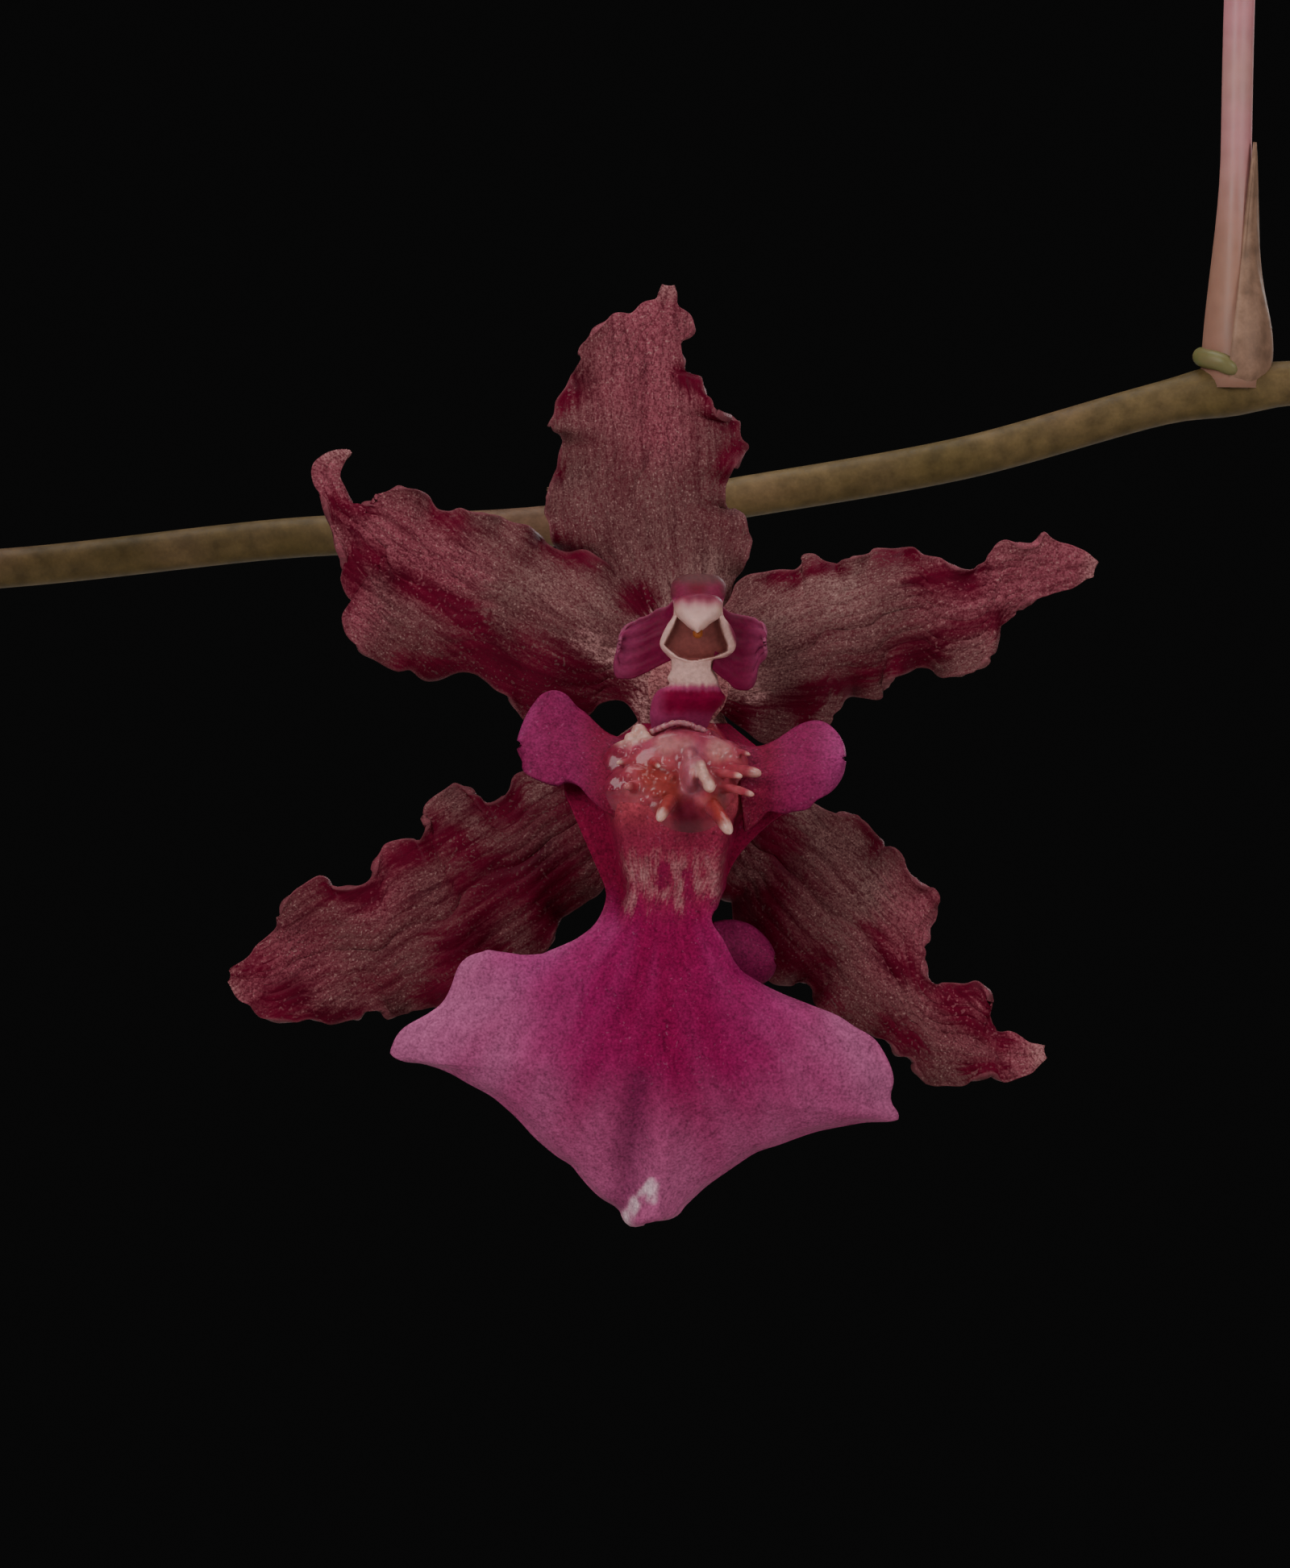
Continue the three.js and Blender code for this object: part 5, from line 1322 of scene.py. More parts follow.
def add_tepal(bm, tepal, seed, mirror, grids):
    """A sepal or petal: ruffled towards its edges, with a midrib and fine ribs along its middle."""
    shape, waves, ruffle = tepal["shape"], tepal["waves"], tepal["ruffle"]

    def place(t, s):
        spot = shape(t, s)
        body = math.sin(math.pi * t)
        spot += (spot - shape(t, 0)) * (0.5 * frill(t, s, seed))
        wave = abs(s) ** 3 * body * math.sin(2 * math.pi * waves * t + 2.1 * s)
        small = abs(s) ** 5 * body * math.sin(2 * math.pi * waves * 2.6 * t + 4 * s + seed)
        edge = s * s * math.sin(math.pi * min(1, 0.15 + t)) ** 2
        ribs = 0.03 * math.cos(11 * math.pi * s) * (1 - s * s) + 0.12 * math.exp(-(s / 0.12) ** 2)
        depth = tepal["rest"] + tepal["rise"] * t * t + tepal["arch"] * edge + ruffle * wave + 0.22 * small
        depth += ribs + 0.3 * body * rough(spot.x / 2.6, spot.z / 2.6, seed)
        return seen(spot.x, depth, spot.z, mirror)

    def paint(t, s, spot):
        # The strokes are read at places moved a little along the veins, so that their ends look brushed.
        streak = t + 0.022 * rough(21 * s, 5 * t, seed) + 0.022 * rough(60 * s, 9 * t, seed)
        flat = shape(round(PAINT_STEPS * min(1.0, max(0.0, streak))) / PAINT_STEPS, s)
        x, z = flat.x, flat.z
        x_off = x + 0.25 * rough(x, z, 1.0)
        z_off = z + 0.25 * rough(x, z, 5.0)
        bare = touched(x_off, z_off, tepal["crimson"], 0.5)
        bare *= 1 - touched(x_off, z_off, tepal["frosted"], 0.4)
        # Paler towards the column, and white close round its foot: partly whiter frost and partly painted
        # sparkle.
        near = smooth(math.hypot(x - 0.4, z - 2.2), 5.0, 1.5)
        white = smooth(math.hypot(x + 0.1, z - 0.9) + 0.5 * rough(2 * x, 2 * z, 4.0), 3.6, 1.5)
        # White strokes: whitish skin and painted glints near the bases of the petals.
        white_and_glint = touched(x_off, z_off, tepal.get("white", []), 0.2) * (0.6 + 1.2 * rough(5 * x, 5 * z, 2.0))
        white = max(0.8 * white * (1 - bare), white_and_glint)
        # A pinker rim along the very edge, partly the edge's own colour and partly a painted rim highlight.
        rim = smooth(abs(s), 0.965, 0.995)
        tint = mixed(CRIMSON, DARK_CRIMSON, 0.25 + 1.1 * rough(x / 1.5, z / 1.5, 8.0))
        tint = mixed(tint, PINK_RIM, 0.7 * rim)
        pale = 0.45 * near + 0.7 * touched(x_off, z_off, tepal["pale"])
        bloom = mixed(TAN_FROST_SHEEN, PALE_FROST_SHEEN, pale + 0.4 * rough(x / 1.7, z / 1.7, 2.0))
        bloom = mixed(bloom, ROSE, 0.85 * touched(x_off, z_off, tepal["rose"], 1.0) + 0.35 * rim)
        # Painted shade: the frost dimmed towards crimson, most on the lower sepals, where it is also thinner.
        bloom = mixed(bloom, CRIMSON, tepal["thin"] + 0.3 * rough(x / 1.6, z / 1.6, 7.0))
        bloom = mixed(bloom, FROST_WHITE_SHEEN, max(white, 0.5 * smooth(t, 0.95, 1.0)))
        frost = (0.9 - tepal["thin"]) * max(1 - bare, white)
        frost += 0.1 + 0.3 * rough(x / 1.2, z / 1.2, 6.0)
        return tint, bloom, min(1.0, max(0.0, frost))

    # The veins run straight from the base, where they lie closer together.
    base, tip = shape(0, 0), shape(1, 0)
    ahead = (tip - base).normalized()
    grain = bm.loops.layers.uv["grain"]
    for vert in sheet(bm, *grids["tepal"], place, paint):
        away = drawn(vert.co, mirror) - base
        out = away.dot(ahead)
        side = (away.x * ahead.z - away.z * ahead.x) / (3 + 5 * smooth(out, -1, 6))
        for loop in vert.link_loops:
            loop[grain].uv = (side + 0.5, out / 14)


def lip_depth(z):
    """The depth of the lip's face. It comes forward from the column to the lobe, whose tip bends back."""
    return -0.7 - 2.7 * smooth(-z, -0.2, 4) - 0.9 * smooth(-z, 6, 11) + 2.0 * smooth(-z, 13, 19)


def lip_wall(s, z):
    """1 on the dark side walls of the lip's narrow waist, 0 on its face, turned a little to the left."""
    right = 0.5 + 0.14 * max(0.0, -4 - z)
    return max(smooth(-s, 0.5, 0.68), smooth(s, right, right + 0.15)) * smooth(z, -8.6, -6.4)


def lip_place(t, s):
    """A point of the lip and its depth, with the fold and the ridge beside it down the lobe's middle."""
    spot = LIP_SHAPE(t, s)
    lobe = smooth(-spot.z, 8, 11)
    spot += (spot - LIP_SHAPE(t, 0)) * (0.2 * frill(t, s, 12))
    valley = -1.4 + 0.12 * (spot.z + 12)
    fold = 0.4 * math.exp(-((spot.x - valley) / 0.7) ** 2) * smooth(-spot.z, 12, 16.5)
    ridge = 0.3 * math.exp(-((spot.x - valley - 1.1) / 0.6) ** 2) * smooth(-spot.z, 13, 17)
    lift = 0.15 * rough(spot.x / 2.5, spot.z / 2.5, 3.0) + 0.3 * smooth(abs(s), 0.85, 1.0) * lobe
    side = 0.7 * s * s * lobe + 1.5 * lip_wall(s, spot.z)
    return spot, lip_depth(spot.z) + fold - ridge + lift + side


def lip_paint(t, s, spot):
    """Magenta that fans out from the throat to a paler edge, and crimson under frost on the waist."""
    flat = LIP_SHAPE(t, s)
    x, z = flat.x, flat.z
    angle = math.atan2(x - THROAT[0], THROAT[1] - z)
    reach = math.hypot(x - THROAT[0], z - THROAT[1])
    rays = rough(angle * 9, reach * 0.25, 3.0)
    shift = 0.5 * rough(x / 1.5, z / 1.5, 4.0)
    fan = abs(x - LIP_AXIS + shift) / (2.0 + 0.42 * max(0.0, -8 - z))
    deep = smooth(fan, 1.25, 0.1) * smooth(z, -18.5, -11.0) * (0.95 + 0.45 * rays)
    middle = smooth(fan, 2.2, 0.5) * smooth(z, -18.5, -12.0) + 0.35 * rays
    edge = smooth(reach, 5.5, 11.0) + 0.4 * smooth(abs(s), 0.8, 1.0) + 0.3 * rough(x / 2, z / 2, 6.0)
    tint = mixed(mixed(PINK, PALE_PINK, edge), MAGENTA, middle)
    tint = mixed(tint, DEEP_MAGENTA, deep + 0.6 * smooth(reach, 5.0, 2.0))
    tint = mixed(tint, LIP_LIGHT, 0.45 * smooth(z, -13.0, -17.5))
    # Painted shade down the fold, then white that is partly the tip's own and partly a painted highlight.
    tint = mixed(tint, LIP_FOLD_SHADE, 0.6 * touched(x + 0.4 * shift, z, LIP_VALLEY_SHADE, 0.3))
    white = 0.8 + 1.1 * rough(5 * x, 2.5 * z, 7.0)
    tint = mixed(tint, LIP_TIP_WHITE, white * touched(x + 0.2 * shift, z, LIP_WHITE))
    # The waist: a fleshy face between dark side walls, with two dark windows.
    waist = smooth(z + 0.8 * rough(2 * x, 0, 2.0), -8.3, -6.2)
    wall = lip_wall(s, z)
    fleshy = mixed(WAIST_CRIMSON, WAIST_ROSE, smooth(z, -4.9, -3.3))
    tint = mixed(tint, mixed(fleshy, LIP_CRIMSON, wall), waist)
    windows = touched(x + 0.2 * rough(3 * x, 3 * z), z, LIP_WINDOWS)
    tint = mixed(tint, WINDOW_CRIMSON, 0.8 * windows)
    streaks = rough(3.2 * x, 0.9 * z, 9.0)
    frosted = smooth(z + 0.8 * streaks, -4.0, -6.0) * smooth(z + 0.6 * streaks, -8.2, -6.6)
    frosted *= (1 - wall) * (1 - 0.7 * windows)
    bloom = mixed(WAIST_FROST, WAIST_PALE_FROST, smooth(z, -4.6, -6.2) + streaks)
    return tint, bloom, min(1.0, max(0.0, frosted * (0.62 + 0.5 * streaks)))


def add_lip(bm, mirror, grids):
    """The lip's lobe and waist, and the two side lobes beside the column."""
    def ear_paint(t, s, spot):
        tint = mixed(EAR_CRIMSON, EAR_MAGENTA, smooth(t, 0.15, 0.5))
        pink = 0.85 if mirror * spot.x > 0 else 0.05 + 0.7 * smooth(s, -0.1, -0.9)
        tint = mixed(tint, PINK, pink * smooth(t, 0.5, 1.0) + 0.25 * rough(spot.x, spot.z, 2.0))
        return tint, PALE_FROST_SHEEN, 0.3 * smooth(t, 0.35, 0.0)

    def lobe(t, s):
        spot, depth = lip_place(t, s)
        return seen(spot.x, depth, spot.z, mirror)

    sheet(bm, *grids["lip"], lobe, lip_paint)
    for shape in EAR_SHAPES:
        def ear(t, s, shape=shape):
            spot = shape(t, s)
            cup = 0.35 * s * s - 0.5 * math.sin(0.6 * math.pi * t)
            depth = lip_depth(spot.z) + cup + 0.25 * s + 0.12 * rough(spot.x, spot.z)
            return seen(spot.x, depth, spot.z, mirror)

        sheet(bm, *grids["ear"], ear, ear_paint)


def add_rolled_piece(bm):
    """The small rolled piece behind the lip's waist."""
    def place(t, s):
        spot = ROLLED_SHAPE(t, s)
        return seen(spot.x, -2.2 + 0.5 * t + 0.4 * s * s, spot.z)

    sheet(bm, 20, 24, place, lambda t, s, spot: (mixed(ROLLED_PINK, ROLLED_DARK, t),))


# The callus. A finger is the x and z of its foot and of its tip, how far the tip stands out, its radius,
# and how white its tip is: the callus's own white, and on several small bumps a painted glint.
CALLUS_FINGERS = [
    (-0.55, -3.4, -1.0, -4.15, 0.9, 0.25, 1.0), (1.0, -3.6, 1.7, -4.65, 0.9, 0.28, 1.0),
    (0.35, -1.9, 0.65, -2.2, 1.2, 0.24, 0.9), (0.55, -2.2, 0.75, -2.65, 1.3, 0.24, 0.9),
    (0.75, -2.6, 0.95, -3.0, 1.2, 0.27, 0.9), (1.0, -2.4, 2.15, -2.5, 1.0, 0.17, 0.9),
    (1.6, -2.3, 2.85, -2.4, 0.8, 0.24, 0.6), (1.3, -2.9, 2.6, -3.2, 0.9, 0.17, 0.7),
    (1.6, -1.55, 2.45, -1.7, 0.6, 0.13, 0.5), (-1.9, -2.0, -2.6, -2.0, 0.4, 0.13, 0.8),
    (-1.3, -2.0, -0.95, -2.15, 0.9, 0.14, 0.8), (-1.9, -2.9, -2.3, -2.9, 0.3, 0.18, 0.2),
    (-0.8, -1.2, -0.7, -1.35, 0.5, 0.24, 0.35), (1.1, -1.3, 1.25, -1.5, 0.5, 0.24, 0.4),
    (-0.1, -1.2, 0.0, -1.4, 0.5, 0.2, 0.3), (-1.7, -0.9, -1.75, -0.8, 0.3, 0.3, 0.8),
    (-2.0, -1.15, -2.15, -1.1, 0.2, 0.24, 0.8), (-1.5, -1.1, -1.45, -0.95, 0.3, 0.2, 0.7),
    (0.2, -1.5, 0.15, -1.75, 1.0, 0.24, 0.15),
]
CALLUS_ORANGE = [
    (-1.2, -2.5, -0.3, -3.1, 0.6), (1.0, -3.4, 1.35, -4.0, 0.3), (-0.7, -3.3, -0.85, -3.7, 0.25),
]
CALLUS_LILAC = [(0.3, -1.7, 0.2, -2.9, 0.4)]
# The painted shade of the dark hollow between the horns.
CALLUS_HOLLOW_SHADE = [(0.0, -3.7, 0.05, -4.4, 0.5)]
# A lump is the x and z of its middle, and how far it reaches across, out and up.
CALLUS_LUMPS = [
    (0.0, -2.6, 2.4, 0.6, 1.8), (0.1, -2.3, 1.7, 0.9, 1.4), (-1.3, -2.2, 1.3, 0.78, 1.2),
    (1.3, -2.3, 1.1, 0.8, 1.2), (0.0, -1.2, 1.4, 0.8, 0.6), (-2.0, -2.3, 1.2, 0.6, 1.2),
    (-0.8, -2.9, 1.2, 0.72, 0.9), (0.95, -3.1, 0.95, 0.72, 0.95), (0.0, -3.8, 1.6, 0.34, 1.1),
    (-1.9, -3.1, 1.2, 0.45, 1.0), (0.2, -2.45, 0.42, 1.75, 0.85), (0.4, -2.0, 0.6, 1.3, 0.7),
]
WART_LUMPS = CALLUS_LUMPS[1:7] + CALLUS_LUMPS[9:10]
WARTS = 95
WART_SEED = 5
SKIN_STEP = 0.062
FLESH_RED = (0.32, 0.032, 0.055)
FLESH_PINK = (0.42, 0.078, 0.1)
FLESH_ORANGE = (0.29, 0.036, 0.028)
FLESH_ROSE = (0.32, 0.05, 0.095)
FLESH_LILAC = (0.4, 0.11, 0.16)
FLESH_SIDE = (0.2, 0.014, 0.04)
FLESH_FOOT = (0.17, 0.012, 0.03)
FLESH_HOLLOW_SHADE = (0.13, 0.004, 0.02)
FINGER_WHITE = (0.6, 0.34, 0.29)
PLAIN_RED = (0.24, 0.035, 0.035)
PLAIN_PINK = (0.34, 0.13, 0.13)


def callus_face(z):
    """The depth that the callus grows from, just behind the lip's face."""
    return lip_depth(z) + 0.1


def add_lumps(bm, mirror, rounds):
    """The callus's large forms. rounds is how often their faces are split."""
    for x, z, wide, deep, tall in CALLUS_LUMPS:
        middle = Matrix.Translation(seen(x, callus_face(z), z, mirror))
        middle @= Matrix.Diagonal((wide, deep, tall, 1))
        bmesh.ops.create_icosphere(bm, subdivisions=rounds, radius=1, matrix=middle)


def add_warts(bm):
    """Small warts scattered over the lumps."""
    chance = random.Random(WART_SEED)
    for _ in range(WARTS):
        x, z, wide, deep, tall = chance.choice(WART_LUMPS)
        turn = chance.uniform(0, 2 * math.pi)
        out = math.sqrt(chance.random()) * 0.92
        spot = seen(
            x + wide * out * math.cos(turn), callus_face(z) - deep * math.sqrt(1 - out * out),
            z + tall * out * math.sin(turn),
        )
        bmesh.ops.create_icosphere(
            bm, subdivisions=2, radius=chance.uniform(0.07, 0.16), matrix=Matrix.Translation(spot),
        )


def one_skin(bm):
    """The overlapping forms, joined in one smooth skin."""
    lumps = as_object("callus_lumps", bm)
    skin = lumps.modifiers.new("one skin", "REMESH")
    skin.mode = "VOXEL"
    skin.voxel_size = SKIN_STEP
    soften = lumps.modifiers.new("soft", "SMOOTH")
    soften.iterations = 3
    soften.factor = 0.5
    shaped = settled(lumps)
    bpy.data.objects.remove(lumps)
    joined = new_mesh()
    joined.from_mesh(shaped)
    return joined


def warty_callus():
    """The shown flower's callus: lumps, warts and fingers in one painted skin."""
    bm = new_mesh()
    tips = []
    add_lumps(bm, 1, 4)
    add_warts(bm)
    for fx, fz, tx, tz, out, radius, white in CALLUS_FINGERS:
        foot = seen(fx, callus_face(fz) - 0.6, fz)
        tip = seen(tx, callus_face(tz) - 0.9 - out, tz)
        tips.append((tip, 2.8 * radius, white))
        finger = Line([foot, foot.lerp(tip, 0.5) + Vector((0, -0.1, 0.05)), tip])
        tube(
            bm, finger, 12, 12,
            lambda t, angle: radius * (1.15 - 0.3 * t) * math.sqrt(max(0.02, 1 - t ** 8)), one_tint(WHITE),
        )
    bm = one_skin(bm)
    for vert in bm.verts:
        spot = vert.co
        orange = touched(spot.x + 0.2 * rough(*(spot * 2)), spot.z, CALLUS_ORANGE)
        tint = mixed(FLESH_RED, FLESH_PINK, 0.5 + rough(*(spot * 2.2)))
        tint = mixed(tint, FLESH_ORANGE, 0.85 * orange)
        tint = mixed(tint, FLESH_ROSE, 0.7 * smooth(spot.z, -2.0, -1.2))
        tint = mixed(tint, FLESH_LILAC, 0.8 * touched(spot.x, spot.z, CALLUS_LILAC))
        tint = mixed(tint, FLESH_SIDE, smooth(abs(spot.x), 1.7, 2.9))
        tint = mixed(tint, FLESH_FOOT, 0.8 * smooth(spot.z, -3.2, -4.2) * (1 - orange))
        # Painted shade in the hollow between the horns.
        tint = mixed(tint, FLESH_HOLLOW_SHADE, 0.9 * touched(spot.x, spot.z, CALLUS_HOLLOW_SHADE))
        for tip, size, white in tips:
            tint = mixed(tint, FINGER_WHITE, white * smooth((spot - tip).length, size, 0.3 * size))
        coat(bm, vert, tint)
    return bm


def plain_callus(mirror):
    """The callus of the other flowers: its lumps alone."""
    bm = new_mesh()
    add_lumps(bm, mirror, 2)
    for vert in bm.verts:
        coat(bm, vert, mixed(PLAIN_RED, PLAIN_PINK, 0.5 + rough(*(vert.co * 2.2))))
    return bm


# The column, from the neck up: its front, the cap, the stigma's hollow and the wings.

COLUMN_SPANS = [
    (-1.25, -0.8, 0.8, -0.8), (-1.32, -0.15, 1.0, -0.25), (-1.2, 0.45, 1.5, 0.4), (-1.0, 0.72, 1.35, 0.68),
    (-0.6, 0.95, 1.23, 0.95), (-0.67, 1.16, 1.2, 1.15), (-0.52, 1.5, 1.07, 1.45), (-0.56, 1.84, 1.05, 1.8),
    (-0.75, 2.05, 1.6, 1.97), (-0.95, 2.4, 1.87, 2.3), (-0.85, 2.8, 1.86, 2.75), (-0.67, 3.15, 1.7, 3.1),
    (-0.45, 3.5, 1.42, 3.5), (-0.45, 3.95, 1.4, 3.95), (-0.55, 4.3, 1.5, 4.3), (-0.5, 4.7, 1.5, 4.65),
    (-0.2, 4.97, 1.2, 4.97), (0.35, 5.05, 0.6, 5.05),
]
COLUMN_MIDDLE = 0.48
COLUMN_FOOT = -0.8
COLUMN_HEIGHT = 5.85
COLUMN_FRONT = Line([
    (-0.8, -1.5, 0), (0.5, -2.5, 0), (1.0, -3.1, 0), (2.6, -3.7, 0), (4.0, -4.0, 0), (5.0, -3.1, 0),
])
COLUMN_RED = (0.22, 0.003, 0.036)
COLUMN_DARK_RED = (0.18, 0.002, 0.03)
NECK_PINK = (0.34, 0.04, 0.13)
SHELF_PINK = (0.36, 0.045, 0.13)
SKIRT_CRIMSON = (0.2, 0.012, 0.055)
PIT_BROWN = (0.2, 0.055, 0.05)
DOME_ROSE = (0.17, 0.016, 0.045)
DOME_CRIMSON = (0.13, 0.006, 0.02)
DOME_FROST = (0.11, 0.036, 0.04)
WING_CRIMSON = (0.14, 0.004, 0.032)
WING_MAGENTA = (0.215, 0.024, 0.074)
WING_EDGE = (0.36, 0.11, 0.18)
CAP_CREAM = (0.56, 0.32, 0.29)
CAP_SIDE = (0.46, 0.29, 0.22)
CAP_PINK = (0.36, 0.12, 0.15)
CAP_TOP = (0.18, 0.016, 0.045)
BEAD_AMBER = (0.27, 0.07, 0.018)
FRILL_ROSE = (0.34, 0.08, 0.13)
FRILL_PALE = (0.5, 0.24, 0.25)
WING_SHAPES = [
    between(
        [(-0.35, 4.1), (-0.67, 3.81), (-1.0, 3.73), (-1.32, 3.53), (-1.6, 3.43), (-1.8, 3.33), (-2.2, 3.12),
         (-2.42, 2.7)],
        [(-0.5, 1.85), (-0.88, 1.68), (-1.2, 1.52), (-1.6, 1.32), (-1.8, 1.24), (-2.2, 1.15), (-2.5, 1.2),
         (-2.62, 1.6), (-2.5, 2.2)],
    ),
    between(
        [(1.3, 3.85), (1.62, 3.61), (2.06, 3.51), (2.46, 3.45), (2.66, 3.33), (2.9, 3.21), (2.98, 2.97),
         (2.92, 2.65)],
        [(1.0, 1.5), (1.29, 1.24), (1.58, 1.04), (1.82, 0.8), (2.14, 0.72), (2.46, 0.84), (2.58, 1.08),
         (2.62, 1.4), (2.74, 1.72), (2.94, 1.92), (3.0, 2.16)],
    ),
]
CAP_SPANS = [
    (0.4, 2.85, 0.5, 2.85), (0.17, 3.0, 0.72, 3.0), (-0.05, 3.2, 0.95, 3.2), (-0.31, 3.45, 1.27, 3.42),
    (-0.43, 3.77, 1.38, 3.75), (-0.43, 4.0, 1.38, 4.0), (-0.2, 4.2, 1.2, 4.2), (0.3, 4.3, 0.8, 4.3),
]
# The hollow: at each height, the x of its left and right edge.
HOLLOW = [
    (1.8, 0.2, 0.3), (1.95, -0.27, 1.1), (2.16, -0.55, 1.58), (2.4, -0.82, 1.59), (2.8, -0.6, 1.43),
    (3.15, -0.43, 1.31), (3.5, -0.3, 1.24),
]


def hollow_depth(x, z):
    """How far a point lies inside the hollow's edge. It is below 0 outside."""
    if not HOLLOW[0][0] < z < HOLLOW[-1][0]:
        return -1.0
    row = max(i for i, (height, *_) in enumerate(HOLLOW) if height <= z)
    low, high = HOLLOW[row], HOLLOW[row + 1]
    share = (z - low[0]) / (high[0] - low[0])
    left = low[1] + (high[1] - low[1]) * share
    right = low[2] + (high[2] - low[2]) * share
    return min(x - left, right - x, 1.2 * (z - HOLLOW[0][0]))


def rounded(bm, spans, faces, mirror, front, back, paint):
    """A closed body as wide as its spans, with front(x, z) before its edges and back behind them."""
    point = spanned(spans)
    grid_start = len(bm.verts)
    tube(bm, UPRIGHT, *faces, lambda t, angle: 1.0, one_tint(WHITE))
    bm.verts.ensure_lookup_table()
    for vert in bm.verts[grid_start:]:
        across, toward = vert.co.x, vert.co.y
        spot = point(vert.co.z, across)
        base, stand = front(spot.x, spot.z)
        depth = base + stand * max(0.0, toward) ** 0.7 + back * max(0.0, -toward)
        vert.co = seen(spot.x, depth, spot.z, mirror)
        coat(bm, vert, *paint(spot.x, spot.z))


def column_line(z):
    """The depth of the column's front at a height."""
    share = (z - COLUMN_FOOT) / COLUMN_HEIGHT
    return COLUMN_FRONT.at(min(1.0, max(0.0, share))).y


def add_column(bm, mirror, grids):
    """The column, with the stigma's hollow pressed into its front inside a raised edge."""
    def front(x, z):
        inside = hollow_depth(x, z)
        pit = 0.4 * smooth(inside, -0.02, 0.12) - 0.08 * math.exp(-((inside + 0.12) / 0.1) ** 2)
        return column_line(z) + 0.75, -0.75 + pit

    def paint(x, z):
        inside = hollow_depth(x, z)
        tint = mixed(COLUMN_RED, COLUMN_DARK_RED, 0.5 + rough(2 * x, 2 * z))
        side = smooth(x, -0.55, -1.15) + smooth(z + 0.1 * rough(4 * x, 0, 8.0), 0.1, -0.4)
        tint = mixed(tint, NECK_PINK, 0.75 * side)
        # From the neck up: a pink shelf, white flesh, and the dark skirt and brown pit of the hollow.
        uneven = 0.12 * rough(7 * x, 0, 3.0)
        tint = mixed(tint, SHELF_PINK, smooth(z + uneven, 0.6, 0.8))
        tint = mixed(tint, WARM_WHITE, smooth(z + uneven, 0.78, 1.05) * smooth(z, 4.1, 3.9))
        skirt = smooth(z, 1.85, 2.1) * smooth(z, 3.6, 3.4) * smooth(inside, -0.2, -0.36)
        tint = mixed(tint, SKIRT_CRIMSON, 0.95 * skirt)
        tint = mixed(tint, PIT_BROWN, smooth(inside, -0.02, 0.06))
        # The dome over the cap, frosted at its sides and top.
        dome = mixed(DOME_ROSE, DOME_CRIMSON, smooth(math.hypot(x - 0.45, z - 4.6), 0.55, 0.15))
        tint = mixed(tint, dome, smooth(z, 4.02, 4.2))
        sides = 0.6 * smooth(abs(x - COLUMN_MIDDLE), 0.7, 0.98)
        frosted = max(sides, smooth(z, 4.5, 4.9)) * smooth(z, 4.05, 4.4)
        return (mixed(tint, DOME_FROST, frosted),)

    rounded(bm, COLUMN_SPANS, grids["column"], mirror, front, 1.4, paint)


def add_wings(bm, mirror, grids):
    """The column's two wings, rolled a little forward at their ends."""
    for side, shape in zip((-1, 1), WING_SHAPES):
        def place(t, s, shape=shape):
            spot = shape(t, s)
            spot += (spot - shape(t, 0)) * (0.5 * frill(t, s, 20) * smooth(t, 0.2, 0.6))
            depth = -3.0 + 0.7 * math.sin(0.5 * math.pi * t) - 0.5 * t ** 3 + 0.2 * s * s
            return seen(spot.x, depth + 0.08 * math.sin(14 * s) * t, spot.z, mirror)

        def paint(t, s, spot, side=side):
            # Painted shade makes the wings darker towards the root by the column; the lighter rims are partly
            # a painted highlight.
            tint = mixed(WING_CRIMSON, WING_MAGENTA, smooth(t, 0.35, 0.7))
            edge = max(smooth(t, 0.9, 1.0), smooth(-s, 0.9, 1.0))
            return (mixed(tint, WING_EDGE, 0.5 * edge + 0.12 * rough(8 * s, 2 * t, side)),)

        sheet(bm, *grids["wing"], place, paint)


def add_cap(bm, mirror, grids):
    """The anther cap: ivory, pinker where it meets the dome over it."""
    def front(x, z):
        return column_line(z) - 0.05, -0.7 - 0.35 * smooth(z, 3.9, 3.0)

    def paint(x, z):
        tint = mixed(WARM_WHITE, CAP_CREAM, 0.5 + rough(2 * x, 2 * z))
        tint = mixed(tint, CAP_SIDE, 0.7 * smooth(abs(x - COLUMN_MIDDLE), 0.6, 0.95))
        top = z + 0.1 * rough(4 * x, 0)
        tint = mixed(tint, CAP_PINK, smooth(top, 3.65, 4.05))
        return (mixed(tint, CAP_TOP, smooth(top, 3.9, 4.2)),)

    rounded(bm, CAP_SPANS, grids["cap"], mirror, front, 0.4, paint)


def add_cap_bead(bm):
    """The amber bead under the tip of the cap."""
    bead = Line([seen(0.47, -4.35, 2.98), seen(0.46, -4.55, 2.82), seen(0.47, -4.5, 2.66)])
    tube(bm, bead, 16, 12, rod(0.18, 4), one_tint(BEAD_AMBER))


def add_neck_frill(bm):
    """A lumpy pale ridge where the column meets the lip."""
    line = Line([(-1.3, -1.75, -0.85), (-0.25, -2.1, -0.5), (0.8, -1.75, -0.85)])
    tube(
        bm, line, 12, 60, lambda t, angle: 0.1 + 0.05 * rough(22 * t, *polar(1, angle)),
        lambda t, angle, spot: (mixed(FRILL_ROSE, FRILL_PALE, 0.5 + rough(14 * t, 0)),),
    )


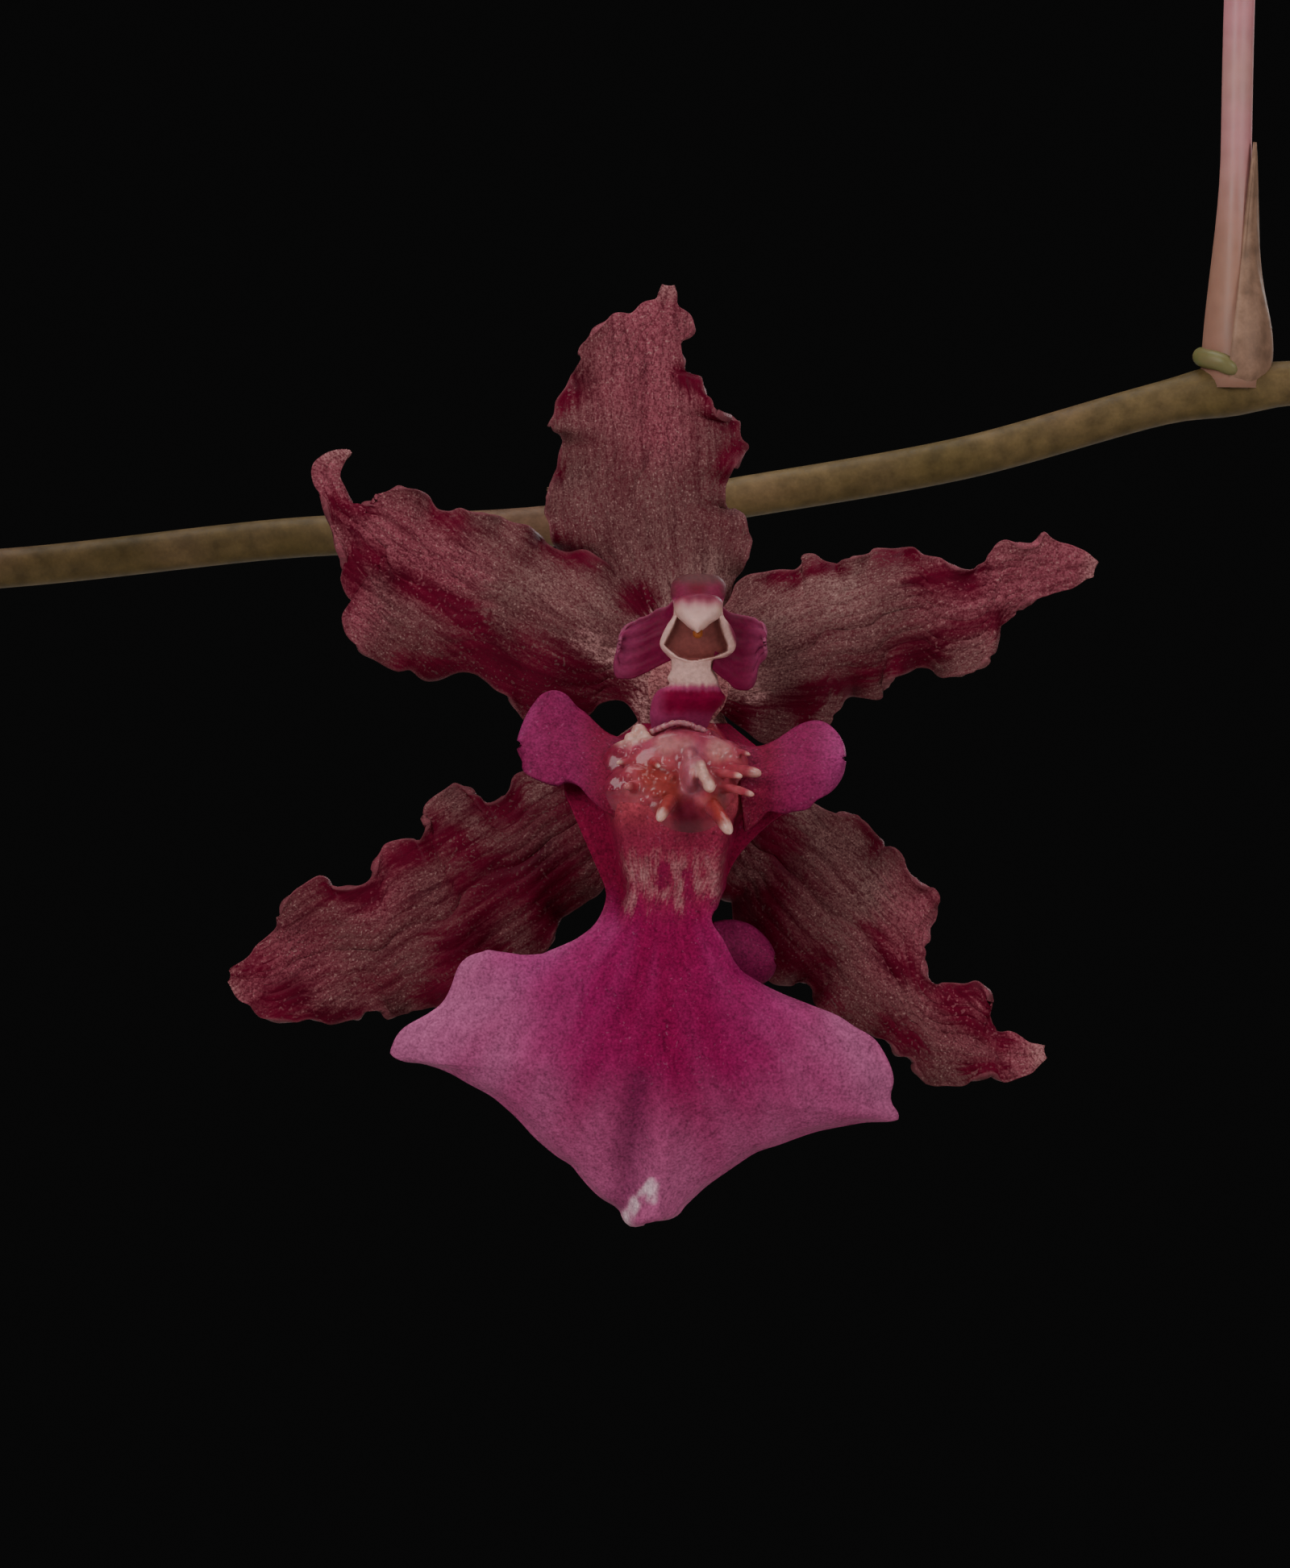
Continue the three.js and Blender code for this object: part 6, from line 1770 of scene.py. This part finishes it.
def make_flower(number, flower):
    """One whole flower. The shown one is fine: it has more faces, and its cap and callus are nodes."""
    fine = flower.get("fine", False)
    mirror = flower.get("mirror", 1)
    grids = FINE_GRIDS if fine else COARSE_GRIDS
    place = Matrix.Translation(Vector(flower["at"]) * MM) @ facing(flower) @ IN_METRES
    name = f"flower_{number}"

    def grown(label, bm, finish, slot, thickness=0.0, node=None):
        piece(f"{name}_{label}", bm, finish, [f"{name}_{node or slot}"], place, thickness)

    if fine:
        for order, tepal in enumerate(TEPALS):
            bm = new_mesh()
            add_tepal(bm, tepal, order + 10 * number, mirror, grids)
            grown(tepal["name"], bm, VELVET, "tepals", TEPAL_THICKNESS)
    else:
        bm = new_mesh()
        for order, tepal in enumerate(TEPALS):
            add_tepal(bm, tepal, order + 10 * number, mirror, grids)
        grown("velvet_tepals", bm, VELVET, "tepals", TEPAL_THICKNESS)

    bm = new_mesh()
    start = Vector((mirror * HUB["x"], 0.1, HUB["z"]))
    hub = Line([start, start + Vector((0, HUB["length"], 0))])
    tube(bm, hub, 20, 6, lambda t, angle: HUB["radius"], lambda t, angle, spot: (CRIMSON, HUB_FROST, 0.8))
    grown("hub", bm, VELVET, "tepals")

    bm = new_mesh()
    add_lip(bm, mirror, grids)
    if fine:
        add_rolled_piece(bm)
    grown("magenta_lip", bm, LIP_SKIN, "lip", LIP_THICKNESS)

    bm = new_mesh()
    add_column(bm, mirror, grids)
    grown("column_post", bm, COLUMN_FLESH, "column")
    bm = new_mesh()
    add_wings(bm, mirror, grids)
    grown("column_wings", bm, COLUMN_FLESH, "column", WING_THICKNESS)
    bm = new_mesh()
    add_cap(bm, mirror, grids)
    if not fine:
        grown("ivory_cap", bm, CAP_WAX, "column")
        grown("callus", plain_callus(mirror), CALLUS_FLESH, "callus", node="lip")
        return
    add_cap_bead(bm)
    grown("ivory_cap", bm, CAP_WAX, "anther_cap")
    bm = new_mesh()
    add_neck_frill(bm)
    grown("neck_frill", bm, CALLUS_FLESH, "column")
    grown("warty_callus", warty_callus(), CALLUS_FLESH, "callus")


make_pot()
make_bark()
for bulb_number, bulb_sizes in enumerate(BULBS, 1):
    make_bulb(bulb_number, bulb_sizes)
make_leaves()
make_stems()
make_long_bract()
for flower_number, flower_facts in enumerate(FLOWERS, 1):
    make_flower(flower_number, flower_facts)


# The floor, the light and the camera

FLOOR_RADIUS = 2.3


def make_floor():
    bm = bmesh.new()
    bmesh.ops.create_circle(bm, cap_ends=True, segments=96, radius=FLOOR_RADIUS)
    floor = as_object("floor", bm)
    floor.data.materials.append(floor_finish())


LIGHT_TARGET = Vector((-0.01, -0.01, 0.31))
# Each soft light: its name, place, width and power.
SOFT_LIGHTS = [
    ("key", (-0.85, -1.05, 0.95), 0.8, 13.0),
    ("fill", (1.1, -1.15, 0.75), 0.7, 9.4),
    ("overhead", (0.0, 0.1, 1.7), 1.0, 12.0),
    ("rim", (0.7, 1.2, 0.9), 0.7, 6.0),
]
ROOM_DARK = (0.004, 0.004, 0.004, 1)


def make_lights():
    for name, place, width, power in SOFT_LIGHTS:
        lamp = bpy.data.lights.new(name, "AREA")
        lamp.shape = "SQUARE"
        lamp.size = width
        lamp.energy = power
        made = placed(name, lamp)
        made.location = place
        made.rotation_euler = (LIGHT_TARGET - Vector(place)).to_track_quat("-Z", "Y").to_euler()
        made.visible_camera = False
    world = bpy.data.worlds.new("dark room")
    world.use_nodes = True
    world.node_tree.nodes["Background"].inputs["Color"].default_value = ROOM_DARK
    bpy.context.scene.world = world


CAMERA_PLACE = (-0.0215, -0.267, 0.342225)
LENS = 150


def make_camera():
    view = bpy.data.cameras.new("camera")
    view.lens = LENS
    view.sensor_width = 36
    view.clip_start = 0.01
    made = placed("camera", view)
    made.location = CAMERA_PLACE
    made.rotation_euler = (math.pi / 2, 0, 0)
    bpy.context.scene.camera = made


make_floor()
make_lights()
make_camera()
